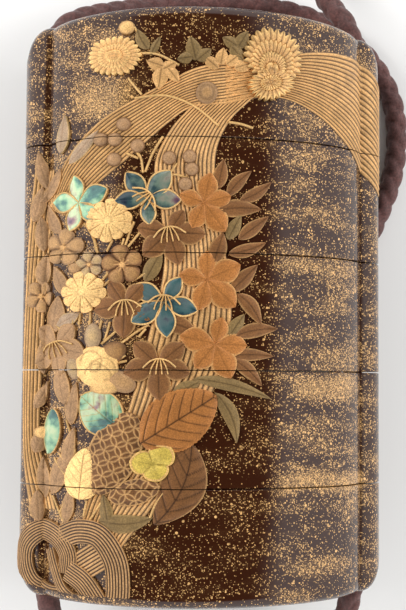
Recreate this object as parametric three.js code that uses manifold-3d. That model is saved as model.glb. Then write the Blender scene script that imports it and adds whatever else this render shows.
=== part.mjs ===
// Inro case: a lacquered, gold-decorated stack of a lid and four nested cases on a silk cord.
// It lies on its back: +X is across it, +Y runs from its bottom case to its lid, +Z is up
// through its decorated front. Millimetres. The origin is on the floor, below its middle.

import * as THREE from "three";
import { mergeVertices } from "three/addons/utils/BufferGeometryUtils.js";
import Module from "manifold-3d";

const wasm = await Module();
wasm.setup();

// ---- Driving dimensions ----------------------------------------------------------------

const BODY = {
  halfWidth: 24.6, // of the lens-shaped section, without the cord runners
  halfDepth: 13.5,
  roundness: 2.1, // exponent of the lens's superellipse
  endLine: 43.5, // from the middle to the rim of the lid, and of the bottom
  crown: 0.4, // how far the end faces bulge past their rims
  rimRadius: 1.5,
  shoulderRadius: 3.3, // how the runners' ends are rounded, seen from the front
  lidArch: 1.3, // how far the rim falls from the middle to the runners
  bottomArch: 0.6,
};
const RUNNER = { radius: 4, offset: 23.5, bore: 2, flare: 3, flareDepth: 3 };
const SEAM = { first: 24, pitch: 16.85, gap: 0.3 };
const CASE_COUNT = 4;
const RISER = { halfWidth: 20.3, halfDepth: 11.6, wall: 1, height: 6.5 };
const FIT = 0.3; // between a riser and the recess that it slides into
const RECESS_DEPTH = 7;
const FLOOR = { inner: 1.4, bottom: 2.5 };
// Where the cord's holes open, at the ends of the runners.
const LID_MOUTH = BODY.endLine - BODY.lidArch;
const BOTTOM_MOUTH = BODY.bottomArch - BODY.endLine;
const CORD = { radius: 1.5, sides: 8, gap: 0.3 };
const KNOT = { radius: 2.9, sides: 8, rings: 5 };

// How far each kind of raised gold work stands proud of the lacquer.
const PROUD = { strand: 0.2, leaf: 0.4, flower: 0.6 };

// Facets: the section's front and back are odd, so that one lies flat on the floor.
const LENS_FACETS = 11;
const RUNNER_FACETS = 6;
const INNER_FACETS = 12;
const BORE_FACETS = 8;

// ---- The section ------------------------------------------------------------------------

const RIGHT_ANGLE = Math.PI / 2;

function lensDepthAt(x, grow) {
  const share = Math.min(Math.abs(x) / (BODY.halfWidth + grow), 1);
  return (BODY.halfDepth + grow) * (1 - share ** BODY.roundness) ** (1 / BODY.roundness);
}

function lensPoint(angle, halfWidth, halfDepth) {
  const power = 2 / BODY.roundness;
  const across = Math.sign(Math.cos(angle)) * Math.abs(Math.cos(angle)) ** power;
  const deep = Math.sign(Math.sin(angle)) * Math.abs(Math.sin(angle)) ** power;
  return new THREE.Vector2(halfWidth * across, halfDepth * deep);
}

// Where the lens meets the runner's round, found by halving.
function grooveX(grow) {
  let [low, high] = [RUNNER.offset - RUNNER.radius, BODY.halfWidth + grow];
  for (let step = 0; step < 40; step += 1) {
    const x = (low + high) / 2;
    const round = Math.sqrt(Math.max((RUNNER.radius + grow) ** 2 - (x - RUNNER.offset) ** 2, 0));
    if (lensDepthAt(x, grow) > round) low = x;
    else high = x;
  }
  return low;
}

// The closed outline across the case, grown outwards by grow, anticlockwise from the right.
function sectionOutline(grow) {
  const groove = grooveX(grow);
  const power = BODY.roundness / 2;
  const lensStart = Math.acos((groove / (BODY.halfWidth + grow)) ** power);
  const runnerStart = Math.acos((groove - RUNNER.offset) / (RUNNER.radius + grow));
  const rightRunner = [];
  for (let i = 0; i < RUNNER_FACETS; i += 1) {
    const angle = runnerStart * (-1 + (2 * i) / RUNNER_FACETS);
    rightRunner.push(
      new THREE.Vector2(
        RUNNER.offset + (RUNNER.radius + grow) * Math.cos(angle),
        (RUNNER.radius + grow) * Math.sin(angle),
      ),
    );
  }
  const front = [];
  for (let i = 0; i < LENS_FACETS; i += 1) {
    const angle = lensStart + ((Math.PI - 2 * lensStart) * i) / LENS_FACETS;
    front.push(lensPoint(angle, BODY.halfWidth + grow, BODY.halfDepth + grow));
  }
  const half = [...rightRunner, ...front];
  return [...half, ...half.map((point) => point.clone().negate())];
}

const section = sectionOutline(0);
const MID_DEPTH = -Math.min(...section.map((point) => point.y));

// ---- From geometry to solids and back -----------------------------------------------------

function toSolid(geometry) {
  const bare = geometry.clone();
  bare.deleteAttribute("normal");
  bare.deleteAttribute("uv");
  const merged = mergeVertices(bare, 1e-4);
  return new wasm.Manifold(
    new wasm.Mesh({
      numProp: 3,
      vertProperties: Float32Array.from(merged.attributes.position.array),
      triVerts: Uint32Array.from(merged.index.array),
    }),
  );
}

function toGeometry(solid) {
  const mesh = solid.getMesh();
  const geometry = new THREE.BufferGeometry();
  geometry.setAttribute("position", new THREE.BufferAttribute(mesh.vertProperties, 3));
  geometry.setIndex(new THREE.BufferAttribute(mesh.triVerts, 1));
  geometry.computeVertexNormals();
  return geometry;
}

// A closed skin through rings of equal count, each a list of points, with a fan on each end.
function loft(rings) {
  const count = rings[0].length;
  const middle = (ring) =>
    ring.reduce((sum, point) => sum.add(point), new THREE.Vector3()).divideScalar(ring.length);
  const points = [...rings.flat(), middle(rings[0]), middle(rings.at(-1))];
  const [startHub, endHub] = [points.length - 2, points.length - 1];
  const index = [];
  for (let i = 0; i < count; i += 1) {
    const next = (i + 1) % count;
    for (let ring = 0; ring + 1 < rings.length; ring += 1) {
      const [a, b] = [ring * count + i, ring * count + next];
      index.push(a, a + count, b, b, a + count, b + count);
    }
    const last = (rings.length - 1) * count;
    index.push(startHub, i, next, endHub, last + next, last + i);
  }
  const geometry = new THREE.BufferGeometry().setFromPoints(points);
  geometry.setIndex(index);
  return geometry;
}

// A ring of the outline at one height along the case; rise gives each point's own height.
const ringAt = (outline, rise) =>
  outline.map(({ x, y }) => new THREE.Vector3(x, rise(x), MID_DEPTH + y));

const flatRing = (outline, height) => ringAt(outline, () => height);

// ---- The outer form -----------------------------------------------------------------------

// How far the rim of an end has fallen at x, by the arch and the runners' round shoulders.
function rimFall(x, arch) {
  const out = Math.abs(x);
  const past = Math.min(Math.max(out - 24, 0), BODY.shoulderRadius * 0.995);
  const shoulder = BODY.shoulderRadius - Math.sqrt(BODY.shoulderRadius ** 2 - past ** 2);
  return arch * (out / 24) ** 2 + shoulder;
}

// The rings of a domed end, from where the wall stops to the crown; side is +1 at the lid.
function endRings(grow, arch, side) {
  const rings = [];
  const roundSteps = 2;
  for (let step = 0; step <= roundSteps; step += 1) {
    const turn = (RIGHT_ANGLE * step) / roundSteps;
    const inset = BODY.rimRadius * (1 - Math.cos(turn));
    const fall = BODY.rimRadius * (1 - Math.sin(turn));
    rings.push(
      ringAt(sectionOutline(grow - inset), (x) => side * (BODY.endLine - fall - rimFall(x, arch))),
    );
  }
  const face = rings.at(-1);
  const crown = face.map(({ x, z }) => {
    const share = 0.4;
    const full = BODY.endLine + BODY.crown - rimFall(x * share, arch);
    return new THREE.Vector3(x * share, side * full, MID_DEPTH + (z - MID_DEPTH) * share);
  });
  return [...rings, crown];
}

// The tiers, from the lid down: where each one's wall starts and stops.
const seamAt = (number) => SEAM.first - number * SEAM.pitch;

function tierForm(tier, grow) {
  const outline = sectionOutline(grow);
  const top = seamAt(tier - 1) - SEAM.gap / 2;
  const bottom = seamAt(tier) + SEAM.gap / 2;
  if (tier === 0) return loft([flatRing(outline, bottom), ...endRings(grow, BODY.lidArch, 1)]);
  if (tier < CASE_COUNT) return loft([flatRing(outline, bottom), flatRing(outline, top)]);
  return loft([...endRings(grow, BODY.bottomArch, -1).reverse(), flatRing(outline, top)]);
}

// A plain lens-shaped block inside the case, from one height to another.
function innerBlock(halfWidth, halfDepth, from, to) {
  const outline = [];
  for (let i = 0; i < INNER_FACETS; i += 1) {
    outline.push(lensPoint((2 * Math.PI * i) / INNER_FACETS, halfWidth, halfDepth));
  }
  return toSolid(loft([flatRing(outline, from), flatRing(outline, to)]));
}

// The cord's hole down one runner, flared where it comes out of the lid and of the bottom.
function boreCutter(side) {
  const beyond = 2;
  const slope = (RUNNER.flare - RUNNER.bore) / RUNNER.flareDepth;
  const widest = RUNNER.flare + beyond * slope;
  const profile = [
    [0, BOTTOM_MOUTH - beyond],
    [widest, BOTTOM_MOUTH - beyond],
    [RUNNER.bore, BOTTOM_MOUTH + RUNNER.flareDepth],
    [RUNNER.bore, LID_MOUTH - RUNNER.flareDepth],
    [widest, LID_MOUTH + beyond],
    [0, LID_MOUTH + beyond],
  ].map(([x, y]) => new THREE.Vector2(x, y));
  const geometry = new THREE.LatheGeometry(profile, BORE_FACETS);
  geometry.translate(side * RUNNER.offset, 0, MID_DEPTH);
  return toSolid(geometry);
}

// ---- Outlines of the raised work ------------------------------------------------------------

const polar = (x, y, radius, angle) =>
  new THREE.Vector2(x + radius * Math.cos(angle), y + radius * Math.sin(angle));

const radians = THREE.MathUtils.degToRad;

// Petals round a centre: each has a valley, two shoulders and a tip.
function blossom({ x, y, r, turn = 90, petals = 5, valley = 0.5, shoulder = 0.84 }) {
  const points = [];
  const pitch = 360 / petals;
  for (let petal = 0; petal < petals; petal += 1) {
    const tip = turn + petal * pitch;
    points.push(polar(x, y, r * valley, radians(tip - pitch / 2)));
    points.push(polar(x, y, r * shoulder, radians(tip - pitch * 0.26)));
    points.push(polar(x, y, r, radians(tip)));
    points.push(polar(x, y, r * shoulder, radians(tip + pitch * 0.26)));
  }
  return points;
}

// A chrysanthemum seen at a slant: an oval whose edge is a row of short petals.
function chrysanthemum({ x, y, r, squash = 1, turn = 0, petals = 16, notch = 0.86 }) {
  const points = [];
  for (let i = 0; i < petals * 2; i += 1) {
    const angle = (Math.PI * i) / petals;
    const reach = i % 2 ? r : r * notch;
    const point = new THREE.Vector2(reach * Math.cos(angle), reach * squash * Math.sin(angle));
    points.push(point.rotateAround(new THREE.Vector2(), radians(turn)));
  }
  return points.map((point) => point.add(new THREE.Vector2(x, y)));
}

// A leaf from its foot to its tip: full at a share of its length, and bent to one side.
function leaf({ x, y, long, wide, turn, bend = 0, fullAt = 0.4 }) {
  const steps = 3;
  const edge = (side) => {
    const points = [];
    for (let i = side > 0 ? 0 : 1; i <= steps - (side > 0 ? 1 : 0); i += 1) {
      const share = side > 0 ? i / steps : 1 - (i - 1) / steps;
      const swell = Math.sin(Math.PI * share ** (Math.log(0.5) / Math.log(fullAt)));
      const bow = bend * Math.sin(Math.PI * share);
      points.push(new THREE.Vector2(long * (share - 0.5), bow - side * swell * (wide / 2)));
    }
    return points;
  };
  return [...edge(1), ...edge(-1)].map((point) =>
    point.rotateAround(new THREE.Vector2(), radians(turn)).add(new THREE.Vector2(x, y)),
  );
}

// A plain oval, such as a berry, a medallion or an oval leaf.
function oval({ x, y, r, squash = 1, turn = 0, sides = 8 }) {
  const points = [];
  for (let i = 0; i < sides; i += 1) {
    const point = polar(0, 0, r, (2 * Math.PI * i) / sides);
    point.y *= squash;
    points.push(
      point.rotateAround(new THREE.Vector2(), radians(turn)).add(new THREE.Vector2(x, y)),
    );
  }
  return points;
}

const curveOf = (pairs) =>
  new THREE.SplineCurve(pairs.map(([x, y]) => new THREE.Vector2(x, y)));

// Strands that run between two edges, as combed threads do, each a narrow ribbon.
function strands({ left, right, count, steps, fill = 0.62 }) {
  const [one, two] = [curveOf(left), curveOf(right)];
  const at = (share, across) => one.getPoint(share).lerp(two.getPoint(share), across);
  return Array.from({ length: count }, (_, strand) => {
    const [near, far] = [(strand + 0.5 - fill / 2) / count, (strand + 0.5 + fill / 2) / count];
    const shares = Array.from({ length: steps + 1 }, (__, i) => i / steps);
    return [
      ...shares.map((share) => at(share, near)),
      ...shares.reverse().map((share) => at(share, far)),
    ];
  });
}

// A rope of the big knot: a ring, or an arc of one, as a pair of edges joined into a ribbon.
function ropeArc({ x, y, r, width, squash = 1, from, to, steps = 10, turn = 0 }) {
  const edge = (radius) =>
    Array.from({ length: steps + 1 }, (_, i) => {
      const point = polar(0, 0, radius, radians(from + ((to - from) * i) / steps));
      point.x *= squash;
      return point.rotateAround(new THREE.Vector2(), radians(turn)).add(new THREE.Vector2(x, y));
    });
  return [...edge(r + width / 2), ...edge(r - width / 2).reverse()];
}

// ---- The raised design: flowers over combed gold streams, and a great knot --------------------

const STREAMS = [
  {
    // the arch that fans out to the right
    left: [[3.5, 34.6], [9, 36], [14, 37.4], [20, 38.1], [27.8, 36.6]],
    right: [[1.5, 26.8], [6.5, 29.8], [12, 29.6], [19, 26.2], [27.8, 17.8]],
    count: 4,
    steps: 6,
  },
  {
    // the arch that falls to the left
    left: [[6, 35.6], [-2, 34.4], [-11, 30], [-18, 23.6], [-23, 14]],
    right: [[2, 29.6], [-4, 28], [-10, 24.2], [-14.6, 19.2], [-17.4, 13]],
    count: 4,
    steps: 6,
  },
  {
    // the stream that falls through the middle to the knot
    left: [[-2.4, 29], [-7.4, 22], [-8, 14], [-7.2, 5], [-9, -5], [-13, -16], [-16.6, -29], [-18, -33.5]],
    right: [[4, 29.3], [0, 24], [-0.2, 16], [2, 6], [1.8, -4], [-2.4, -14], [-9, -29], [-12.5, -34]],
    count: 4,
    steps: 7,
  },
  {
    // the stream at the left edge
    left: [[-25.6, 12], [-27, 2], [-27.2, -10], [-27, -22], [-25.4, -31]],
    right: [[-21.6, 12], [-23.6, 2], [-24.4, -10], [-23.8, -22], [-20.4, -31]],
    count: 2,
    steps: 4,
  },
];

const LEAVES = [
  // across the right of the flowers, from the top down
  { x: 0.9, y: 18.6, long: 4.4, wide: 2, turn: 78 },
  { x: 3.6, y: 17.3, long: 5, wide: 2, turn: 47, bend: 0.3 },
  { x: 6, y: 16.3, long: 5.2, wide: 1.9, turn: 34, bend: -0.3 },
  { x: 3.3, y: 13.4, long: 6.4, wide: 2.4, turn: 4, bend: 0.3 },
  { x: 2.9, y: 10.9, long: 3.8, wide: 2, turn: 58 },
  { x: 5.7, y: 10.9, long: 5.2, wide: 2, turn: 34 },
  { x: 0.6, y: 7.9, long: 4.4, wide: 2.6, turn: 70 },
  { x: 4.6, y: 7.9, long: 5.4, wide: 2, turn: 16, bend: -0.2 },
  { x: 4.3, y: 3.7, long: 5.2, wide: 2.2, turn: 44 },
  { x: 6.9, y: 2.5, long: 4, wide: 1.7, turn: 4 },
  { x: 5, y: -0.8, long: 5.6, wide: 2.3, turn: -50, bend: 0.5 },
  { x: 3.3, y: -3.2, long: 3.8, wide: 1.9, turn: 52 },
  { x: 6.2, y: -4.2, long: 6, wide: 2.1, turn: 12, bend: 0.3 },
  { x: 5.3, y: -7.6, long: 6.6, wide: 1.9, turn: 2, bend: 0.2 },
  { x: 4.8, y: -9.9, long: 5.6, wide: 2, turn: -40, bend: 0.3 },
  { x: 2.6, y: -12.3, long: 11.4, wide: 1.7, turn: -14, bend: 0.5 },
  { x: 4, y: -14, long: 5.4, wide: 2.3, turn: -36 },
  { x: 1.7, y: -16.4, long: 7.6, wide: 2.1, turn: -66, bend: 0.8 },
  // round the lid's sprays
  { x: -7.8, y: 33.4, long: 5, wide: 2.8, turn: 66 },
  { x: -10.6, y: 37.8, long: 3.6, wide: 1.7, turn: 120 },
  { x: -2.7, y: 36.3, long: 4.2, wide: 2.4, turn: 100 },
  { x: 3, y: 37.4, long: 4, wide: 2.2, turn: 25 },
  { x: 0.6, y: 34.8, long: 4.6, wide: 2.4, turn: 20 },
  { x: -12.5, y: 39.9, long: 2.6, wide: 1.7, turn: 150 },
  // down the left edge
  { x: -21.4, y: 24.8, long: 5.2, wide: 1.9, turn: 84 },
  { x: -18.7, y: 22.8, long: 5.6, wide: 1.9, turn: 48 },
  { x: -25.2, y: 20.4, long: 5.4, wide: 2.4, turn: 112 },
  { x: -25.6, y: 13.4, long: 5, wide: 2.4, turn: 70 },
  { x: -14, y: -7.2, long: 3.6, wide: 2.4, turn: 30 },
  { x: -26.4, y: -16.8, long: 4, wide: 1.6, turn: 98 },
  { x: -22.7, y: -24.2, long: 5.6, wide: 2.6, turn: 76 },
  { x: -12.4, y: -30.6, long: 5.6, wide: 2.2, turn: 12 },
  // the broad leaves below the flowers
  { x: -5, y: -17, long: 12.4, wide: 8.4, turn: 28, fullAt: 0.5 },
  { x: -18.1, y: -24.6, long: 7.6, wide: 5.2, turn: 84, fullAt: 0.42 },
  { x: -5.8, y: -26, long: 11.6, wide: 5.4, turn: 66, bend: -1.2, fullAt: 0.55 },
  { x: -13.9, y: -21.6, long: 12.4, wide: 6.8, turn: 68, fullAt: 0.5 },
];

const BERRIES = [
  [-13.1, 25.7], [-14.2, 23.7], [-16.1, 23.8], [-11.3, 22.8], [-14.2, 20.9],
  [-6.9, 20.9], [-3.7, 20.9], [-2.7, 19.2], [-4.3, 16.8],
];
const BERRY_RADIUS = 1;

const FLOWERS = [
  { x: -19.2, y: 14.8, r: 4.2, turn: 92 },
  { x: -9.6, y: 15.1, r: 4.2, turn: 62, petals: 6 },
  { x: -2, y: 13.9, r: 4.4, turn: 98 },
  { x: -7.2, y: 10, r: 4.4, turn: 60 },
  { x: -21.4, y: 8.4, r: 2.6, turn: 90, shoulder: 0.95 },
  { x: -13.4, y: 5.7, r: 2.9, turn: 80, shoulder: 0.95 },
  { x: -24.7, y: 1, r: 2.4, turn: 70, shoulder: 0.95 },
  { x: -13, y: -0.8, r: 4.1, turn: 112 },
  { x: -7, y: -0.6, r: 4.4, turn: 75 },
  { x: -0.6, y: 3, r: 4.7, turn: 95 },
  { x: -0.1, y: -6.3, r: 4.7, turn: 82 },
  { x: -21.8, y: -6.4, r: 4, turn: 55 },
  { x: -7.8, y: -9.7, r: 4.6, turn: 128 },
  { x: -15.7, y: -14.9, r: 3.9, turn: 140, valley: 0.6 },
];

const ROUND_HEADS = [
  { x: -15.1, y: 11.8, r: 3.3, squash: 0.92, petals: 11, notch: 0.9 },
  { x: -18.5, y: 1.6, r: 3, squash: 0.95, petals: 10, notch: 0.9 },
  { x: -16.3, y: -9.3, r: 3, squash: 0.94, petals: 7, notch: 0.93 },
  { x: -14.3, y: 36.1, r: 4.1, squash: 0.72, petals: 12 },
  { x: 8.4, y: 35.2, r: 5.2, squash: 0.8, turn: 70, petals: 12 },
];

const OVALS = [
  { x: -22.7, y: -18.5, r: 3.3, squash: 0.52, turn: 80, sides: 10 },
  { x: -8.2, y: -22.7, r: 3.2, squash: 0.8, turn: 60, sides: 8 },
  { x: -1.2, y: 30.3, r: 1.7, sides: 8 },
  { x: -18.2, y: 5.1, r: 1.3, squash: 0.7, turn: 10 },
];

// Two loops that pass through each other, over a crossing pair and a square boss.
const KNOT_ROPES = [
  { x: -23.2, y: -37, r: 3.4, width: 3.4, squash: 0.85, from: 0, to: 360, steps: 14 },
  { x: -17.1, y: -37, r: 4, width: 3.2, squash: 0.88, from: -60, to: 170, steps: 10 },
  { x: -21.4, y: -44.6, r: 5.6, width: 3, from: 14, to: 88, steps: 5 },
];
const KNOT_BOSS = { x: -17.5, y: -37.2, r: 2.5, sides: 4, turn: 20 };

const RAISED = [
  { proud: PROUD.strand, outlines: STREAMS.flatMap(strands) },
  { proud: PROUD.leaf, outlines: [...LEAVES.map(leaf), oval(KNOT_BOSS)] },
  {
    proud: PROUD.flower,
    outlines: [
      ...FLOWERS.map(blossom),
      ...ROUND_HEADS.map(chrysanthemum),
      ...OVALS.map(oval),
      ...BERRIES.map(([x, y]) => oval({ x, y, r: BERRY_RADIUS, sides: 6 })),
      ...KNOT_ROPES.map(ropeArc),
    ],
  },
];

// An outline as a block that runs forwards from inside the wall to beyond the raised work.
function frontBlock(outline) {
  const start = MID_DEPTH + 1;
  const geometry = new THREE.ExtrudeGeometry(new THREE.Shape(outline), {
    depth: BODY.halfDepth + 2,
    bevelEnabled: false,
  });
  geometry.translate(0, 0, start);
  return toSolid(geometry);
}

const reaches = (outline, low, high) =>
  outline.some(({ y }) => y > low) && outline.some(({ y }) => y < high);

// ---- The lid and the cases --------------------------------------------------------------------

const boreCutters = [-1, 1].map(boreCutter);

function makeTier(tier) {
  const top = tier === 0 ? BODY.endLine + BODY.crown : seamAt(tier - 1) - SEAM.gap / 2;
  const bottom = tier === CASE_COUNT ? -BODY.endLine - BODY.crown : seamAt(tier) + SEAM.gap / 2;
  let solid = toSolid(tierForm(tier, 0));
  for (const { proud, outlines } of RAISED) {
    const skin = toSolid(tierForm(tier, proud));
    for (const outline of outlines.filter((points) => reaches(points, bottom, top))) {
      solid = solid.add(frontBlock(outline).intersect(skin));
    }
  }
  const recess = [RISER.halfWidth + FIT, RISER.halfDepth + FIT];
  const inside = [RISER.halfWidth - RISER.wall, RISER.halfDepth - RISER.wall];
  if (tier === 0) {
    return finish(solid.subtract(innerBlock(...recess, bottom - 1, BODY.endLine - FLOOR.bottom)));
  }
  const riserTop = top + RISER.height;
  const floorTop = tier === CASE_COUNT
    ? -BODY.endLine + FLOOR.bottom
    : bottom + RECESS_DEPTH + FLOOR.inner;
  solid = solid.add(innerBlock(RISER.halfWidth, RISER.halfDepth, top - 1, riserTop));
  solid = solid.subtract(innerBlock(...inside, floorTop, riserTop + 1));
  if (tier < CASE_COUNT) {
    solid = solid.subtract(innerBlock(...recess, bottom - 1, bottom + RECESS_DEPTH));
  }
  return finish(solid);
}

const finish = (solid) =>
  toGeometry(boreCutters.reduce((rest, cutter) => rest.subtract(cutter), solid));

// ---- The cord -----------------------------------------------------------------------------------

const onFloor = CORD.radius + 0.1;
const strandStart = LID_MOUTH - 5; // inside the bore, face to face with the runner's stretch
const loopStart = BOTTOM_MOUTH + 3.4;

// From the left bore over the lid's end, down to the floor, round the right side and under it.
const LEFT_STRAND = [
  [-23.5, strandStart, MID_DEPTH],
  [-23.5, 39, MID_DEPTH],
  [-23.1, 41.1, 13.3],
  [-22.1, 43, 12.9],
  [-20.4, 44.5, 12.1],
  [-17.8, 45.9, 10.6],
  [-14.3, 47.3, 8.4],
  [-10.3, 48.8, 5.8],
  [-5.6, 50.2, 3.4],
  [-0.4, 51.1, 1.9],
  [5.5, 51.5, onFloor],
  [12, 51.2, onFloor],
  [18.2, 50, onFloor],
  [23.2, 47.9, onFloor],
  [27.2, 45, onFloor],
  [30.5, 41.2, onFloor],
  [32.8, 36.8, onFloor],
  [33.8, 32, onFloor],
  [33.7, 27, onFloor],
  [32.7, 22, onFloor],
  [30.9, 17.2, onFloor],
  [28.6, 12.2, onFloor],
  [26.2, 7, onFloor],
  [24.2, 1.5, onFloor],
  [22.9, -5, onFloor],
  [22.6, -12, onFloor],
  [23.2, -25, onFloor],
];

// From the right bore back over the left strand, and up to the coil beyond the lid.
const RIGHT_STRAND = [
  [23.5, strandStart, MID_DEPTH],
  [23.5, 41.4, MID_DEPTH],
  [23.2, 43.6, 13.3],
  [22.4, 45.7, 12.8],
  [21.3, 47.7, 11.7],
  [20.3, 50, 9.9],
  [19.7, 52.8, 7.6],
  [19.5, 56.4, 4.6],
  [19.4, 60, 2.4],
  [19.4, 66.6, onFloor],
];

// From one bore to the other round the bottom, sagging to the floor.
const BOTTOM_LOOP_HALF = [
  [-23.5, loopStart, MID_DEPTH],
  [-23.4, BOTTOM_MOUTH + 0.6, MID_DEPTH],
  [-22.8, -45.4, 13],
  [-21.6, -49, 11.2],
  [-19.4, -52.4, 8],
  [-16, -55.2, 4.6],
  [-11.4, -57, 2.3],
  [-6, -57.9, onFloor],
];
const BOTTOM_LOOP = [
  ...BOTTOM_LOOP_HALF,
  [0, -58.2, onFloor],
  ...BOTTOM_LOOP_HALF.toReversed().map(([x, y, z]) => [-x, y, z]),
];

const COIL = { x: 1.4, y: 78.2, radius: 16.5, turnsAcross: 2, layers: 2 };

// A curve whose even steps fall on its own points, which lie closer where it bends.
class StationedCurve extends THREE.CatmullRomCurve3 {
  getPointAt(share, target) {
    return this.getPoint(share, target);
  }

  getTangentAt(share, target) {
    return this.getTangent(share, target);
  }
}

function cordTube(route) {
  const points = route.map((point) => new THREE.Vector3(...point));
  const outline = oval({ x: 0, y: 0, r: CORD.radius, sides: CORD.sides });
  return new THREE.ExtrudeGeometry(new THREE.Shape(outline), {
    steps: route.length - 1,
    extrudePath: new StationedCurve(points, false, "centripetal"),
  });
}

// The stretch down a runner, between the strand above it and the loop below.
function runnerStretch(side) {
  const from = loopStart + CORD.gap;
  const to = strandStart - CORD.gap;
  const geometry = new THREE.CylinderGeometry(CORD.radius, CORD.radius, to - from, CORD.sides);
  return geometry.translate(side * RUNNER.offset, (from + to) / 2, MID_DEPTH);
}

// The outer shape of the coil's turns, which lie beside and on each other.
function coilRing() {
  const halfWidth = COIL.turnsAcross * CORD.radius;
  const height = 2 * COIL.layers * CORD.radius + 0.1;
  const bevel = 0.7;
  const profile = [
    [-halfWidth + bevel, 0],
    [halfWidth - bevel, 0],
    [halfWidth, bevel],
    [halfWidth, height - bevel],
    [halfWidth - bevel, height],
    [-halfWidth + bevel, height],
    [-halfWidth, height - bevel],
    [-halfWidth, bevel],
    [-halfWidth + bevel, 0],
  ].map(([x, y]) => new THREE.Vector2(COIL.radius + x, y));
  const geometry = new THREE.LatheGeometry(profile, 18);
  return geometry.rotateX(RIGHT_ANGLE).translate(COIL.x, COIL.y, 0);
}

// The knot that stops the cord's end.
function knotForm([x, y]) {
  const geometry = new THREE.SphereGeometry(KNOT.radius, KNOT.sides, KNOT.rings);
  return geometry.rotateX(RIGHT_ANGLE).translate(x, y, KNOT.radius);
}

// ---- The part -----------------------------------------------------------------------------------

const lacquer = () =>
  new THREE.MeshStandardMaterial({ color: 0x6b4a22, roughness: 0.28, metalness: 0.35 });
const silk = () =>
  new THREE.MeshStandardMaterial({ color: 0x44252a, roughness: 0.75, metalness: 0 });

const part = new THREE.Group();

function addPiece(name, geometry, material) {
  const mesh = new THREE.Mesh(geometry, material);
  mesh.name = name;
  part.add(mesh);
}

for (let tier = 0; tier <= CASE_COUNT; tier += 1) {
  addPiece(tier === 0 ? "lid" : `case_${tier}`, makeTier(tier), lacquer());
}
addPiece("cord_left_strand", cordTube(LEFT_STRAND), silk());
addPiece("cord_right_strand", cordTube(RIGHT_STRAND), silk());
addPiece("cord_bottom_loop", cordTube(BOTTOM_LOOP), silk());
addPiece("cord_in_left_runner", runnerStretch(-1), silk());
addPiece("cord_in_right_runner", runnerStretch(1), silk());
addPiece("cord_coil", coilRing(), silk());
addPiece("knot_left", knotForm([23.5, -31.5]), silk());
addPiece("knot_right", knotForm([-21.3, 73.6]), silk());

export default part;
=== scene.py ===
"""An inro: a lacquered case of a lid and four nested boxes, strung on a braided silk cord.

It lies on its back, with its decorated front up. Everything is in metres, in the part's own frame:
+X across the case, +Y from its bottom box to its lid, +Z up through the front.
"""

import math

import bmesh
import bpy
import numpy as np
from bpy.props import FloatProperty, FloatVectorProperty, PointerProperty
from mathutils import Matrix, Vector


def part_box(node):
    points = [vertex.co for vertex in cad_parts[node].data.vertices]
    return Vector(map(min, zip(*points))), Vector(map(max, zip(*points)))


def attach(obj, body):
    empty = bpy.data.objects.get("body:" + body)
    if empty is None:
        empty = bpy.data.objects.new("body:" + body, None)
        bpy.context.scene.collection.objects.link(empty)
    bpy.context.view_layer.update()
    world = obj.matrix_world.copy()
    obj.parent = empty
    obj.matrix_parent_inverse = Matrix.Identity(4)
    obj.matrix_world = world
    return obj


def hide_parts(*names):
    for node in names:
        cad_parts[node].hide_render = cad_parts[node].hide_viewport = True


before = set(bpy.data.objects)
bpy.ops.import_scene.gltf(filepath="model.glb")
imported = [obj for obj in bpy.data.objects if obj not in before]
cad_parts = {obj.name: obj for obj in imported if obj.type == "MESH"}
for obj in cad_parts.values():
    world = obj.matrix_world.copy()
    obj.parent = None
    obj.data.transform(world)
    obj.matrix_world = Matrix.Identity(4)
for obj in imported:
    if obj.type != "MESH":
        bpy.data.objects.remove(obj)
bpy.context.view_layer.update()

bl_info = {
    "name": "Inro case",
    "version": (1, 0, 0),
    "blender": (4, 5, 0),
    "location": "3D View > Sidebar > Inro",
    "description": "Models a gold-decorated lacquer inro on its silk cord",
    "category": "Object",
}

MM = 0.001
TIERS = ("lid", "case_1", "case_2", "case_3", "case_4")
MID = (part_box("cord_in_left_runner")[0].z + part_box("cord_in_left_runner")[1].z) / 2
MID_MM = MID / MM


def srgb(red, green, blue):
    """A colour given as 0-255 screen values, in linear light."""
    def straight(value):
        share = value / 255
        return share / 12.92 if share <= 0.04045 else ((share + 0.055) / 1.055) ** 2.4
    return straight(red), straight(green), straight(blue)


def length_property(name, description, default):
    return FloatProperty(name=name, description=description, default=default, unit="LENGTH", precision=5)


def colour_property(name, description, default):
    return FloatVectorProperty(
        name=name, description=description, default=default, subtype="COLOR", size=3, min=0, max=1
    )


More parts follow.
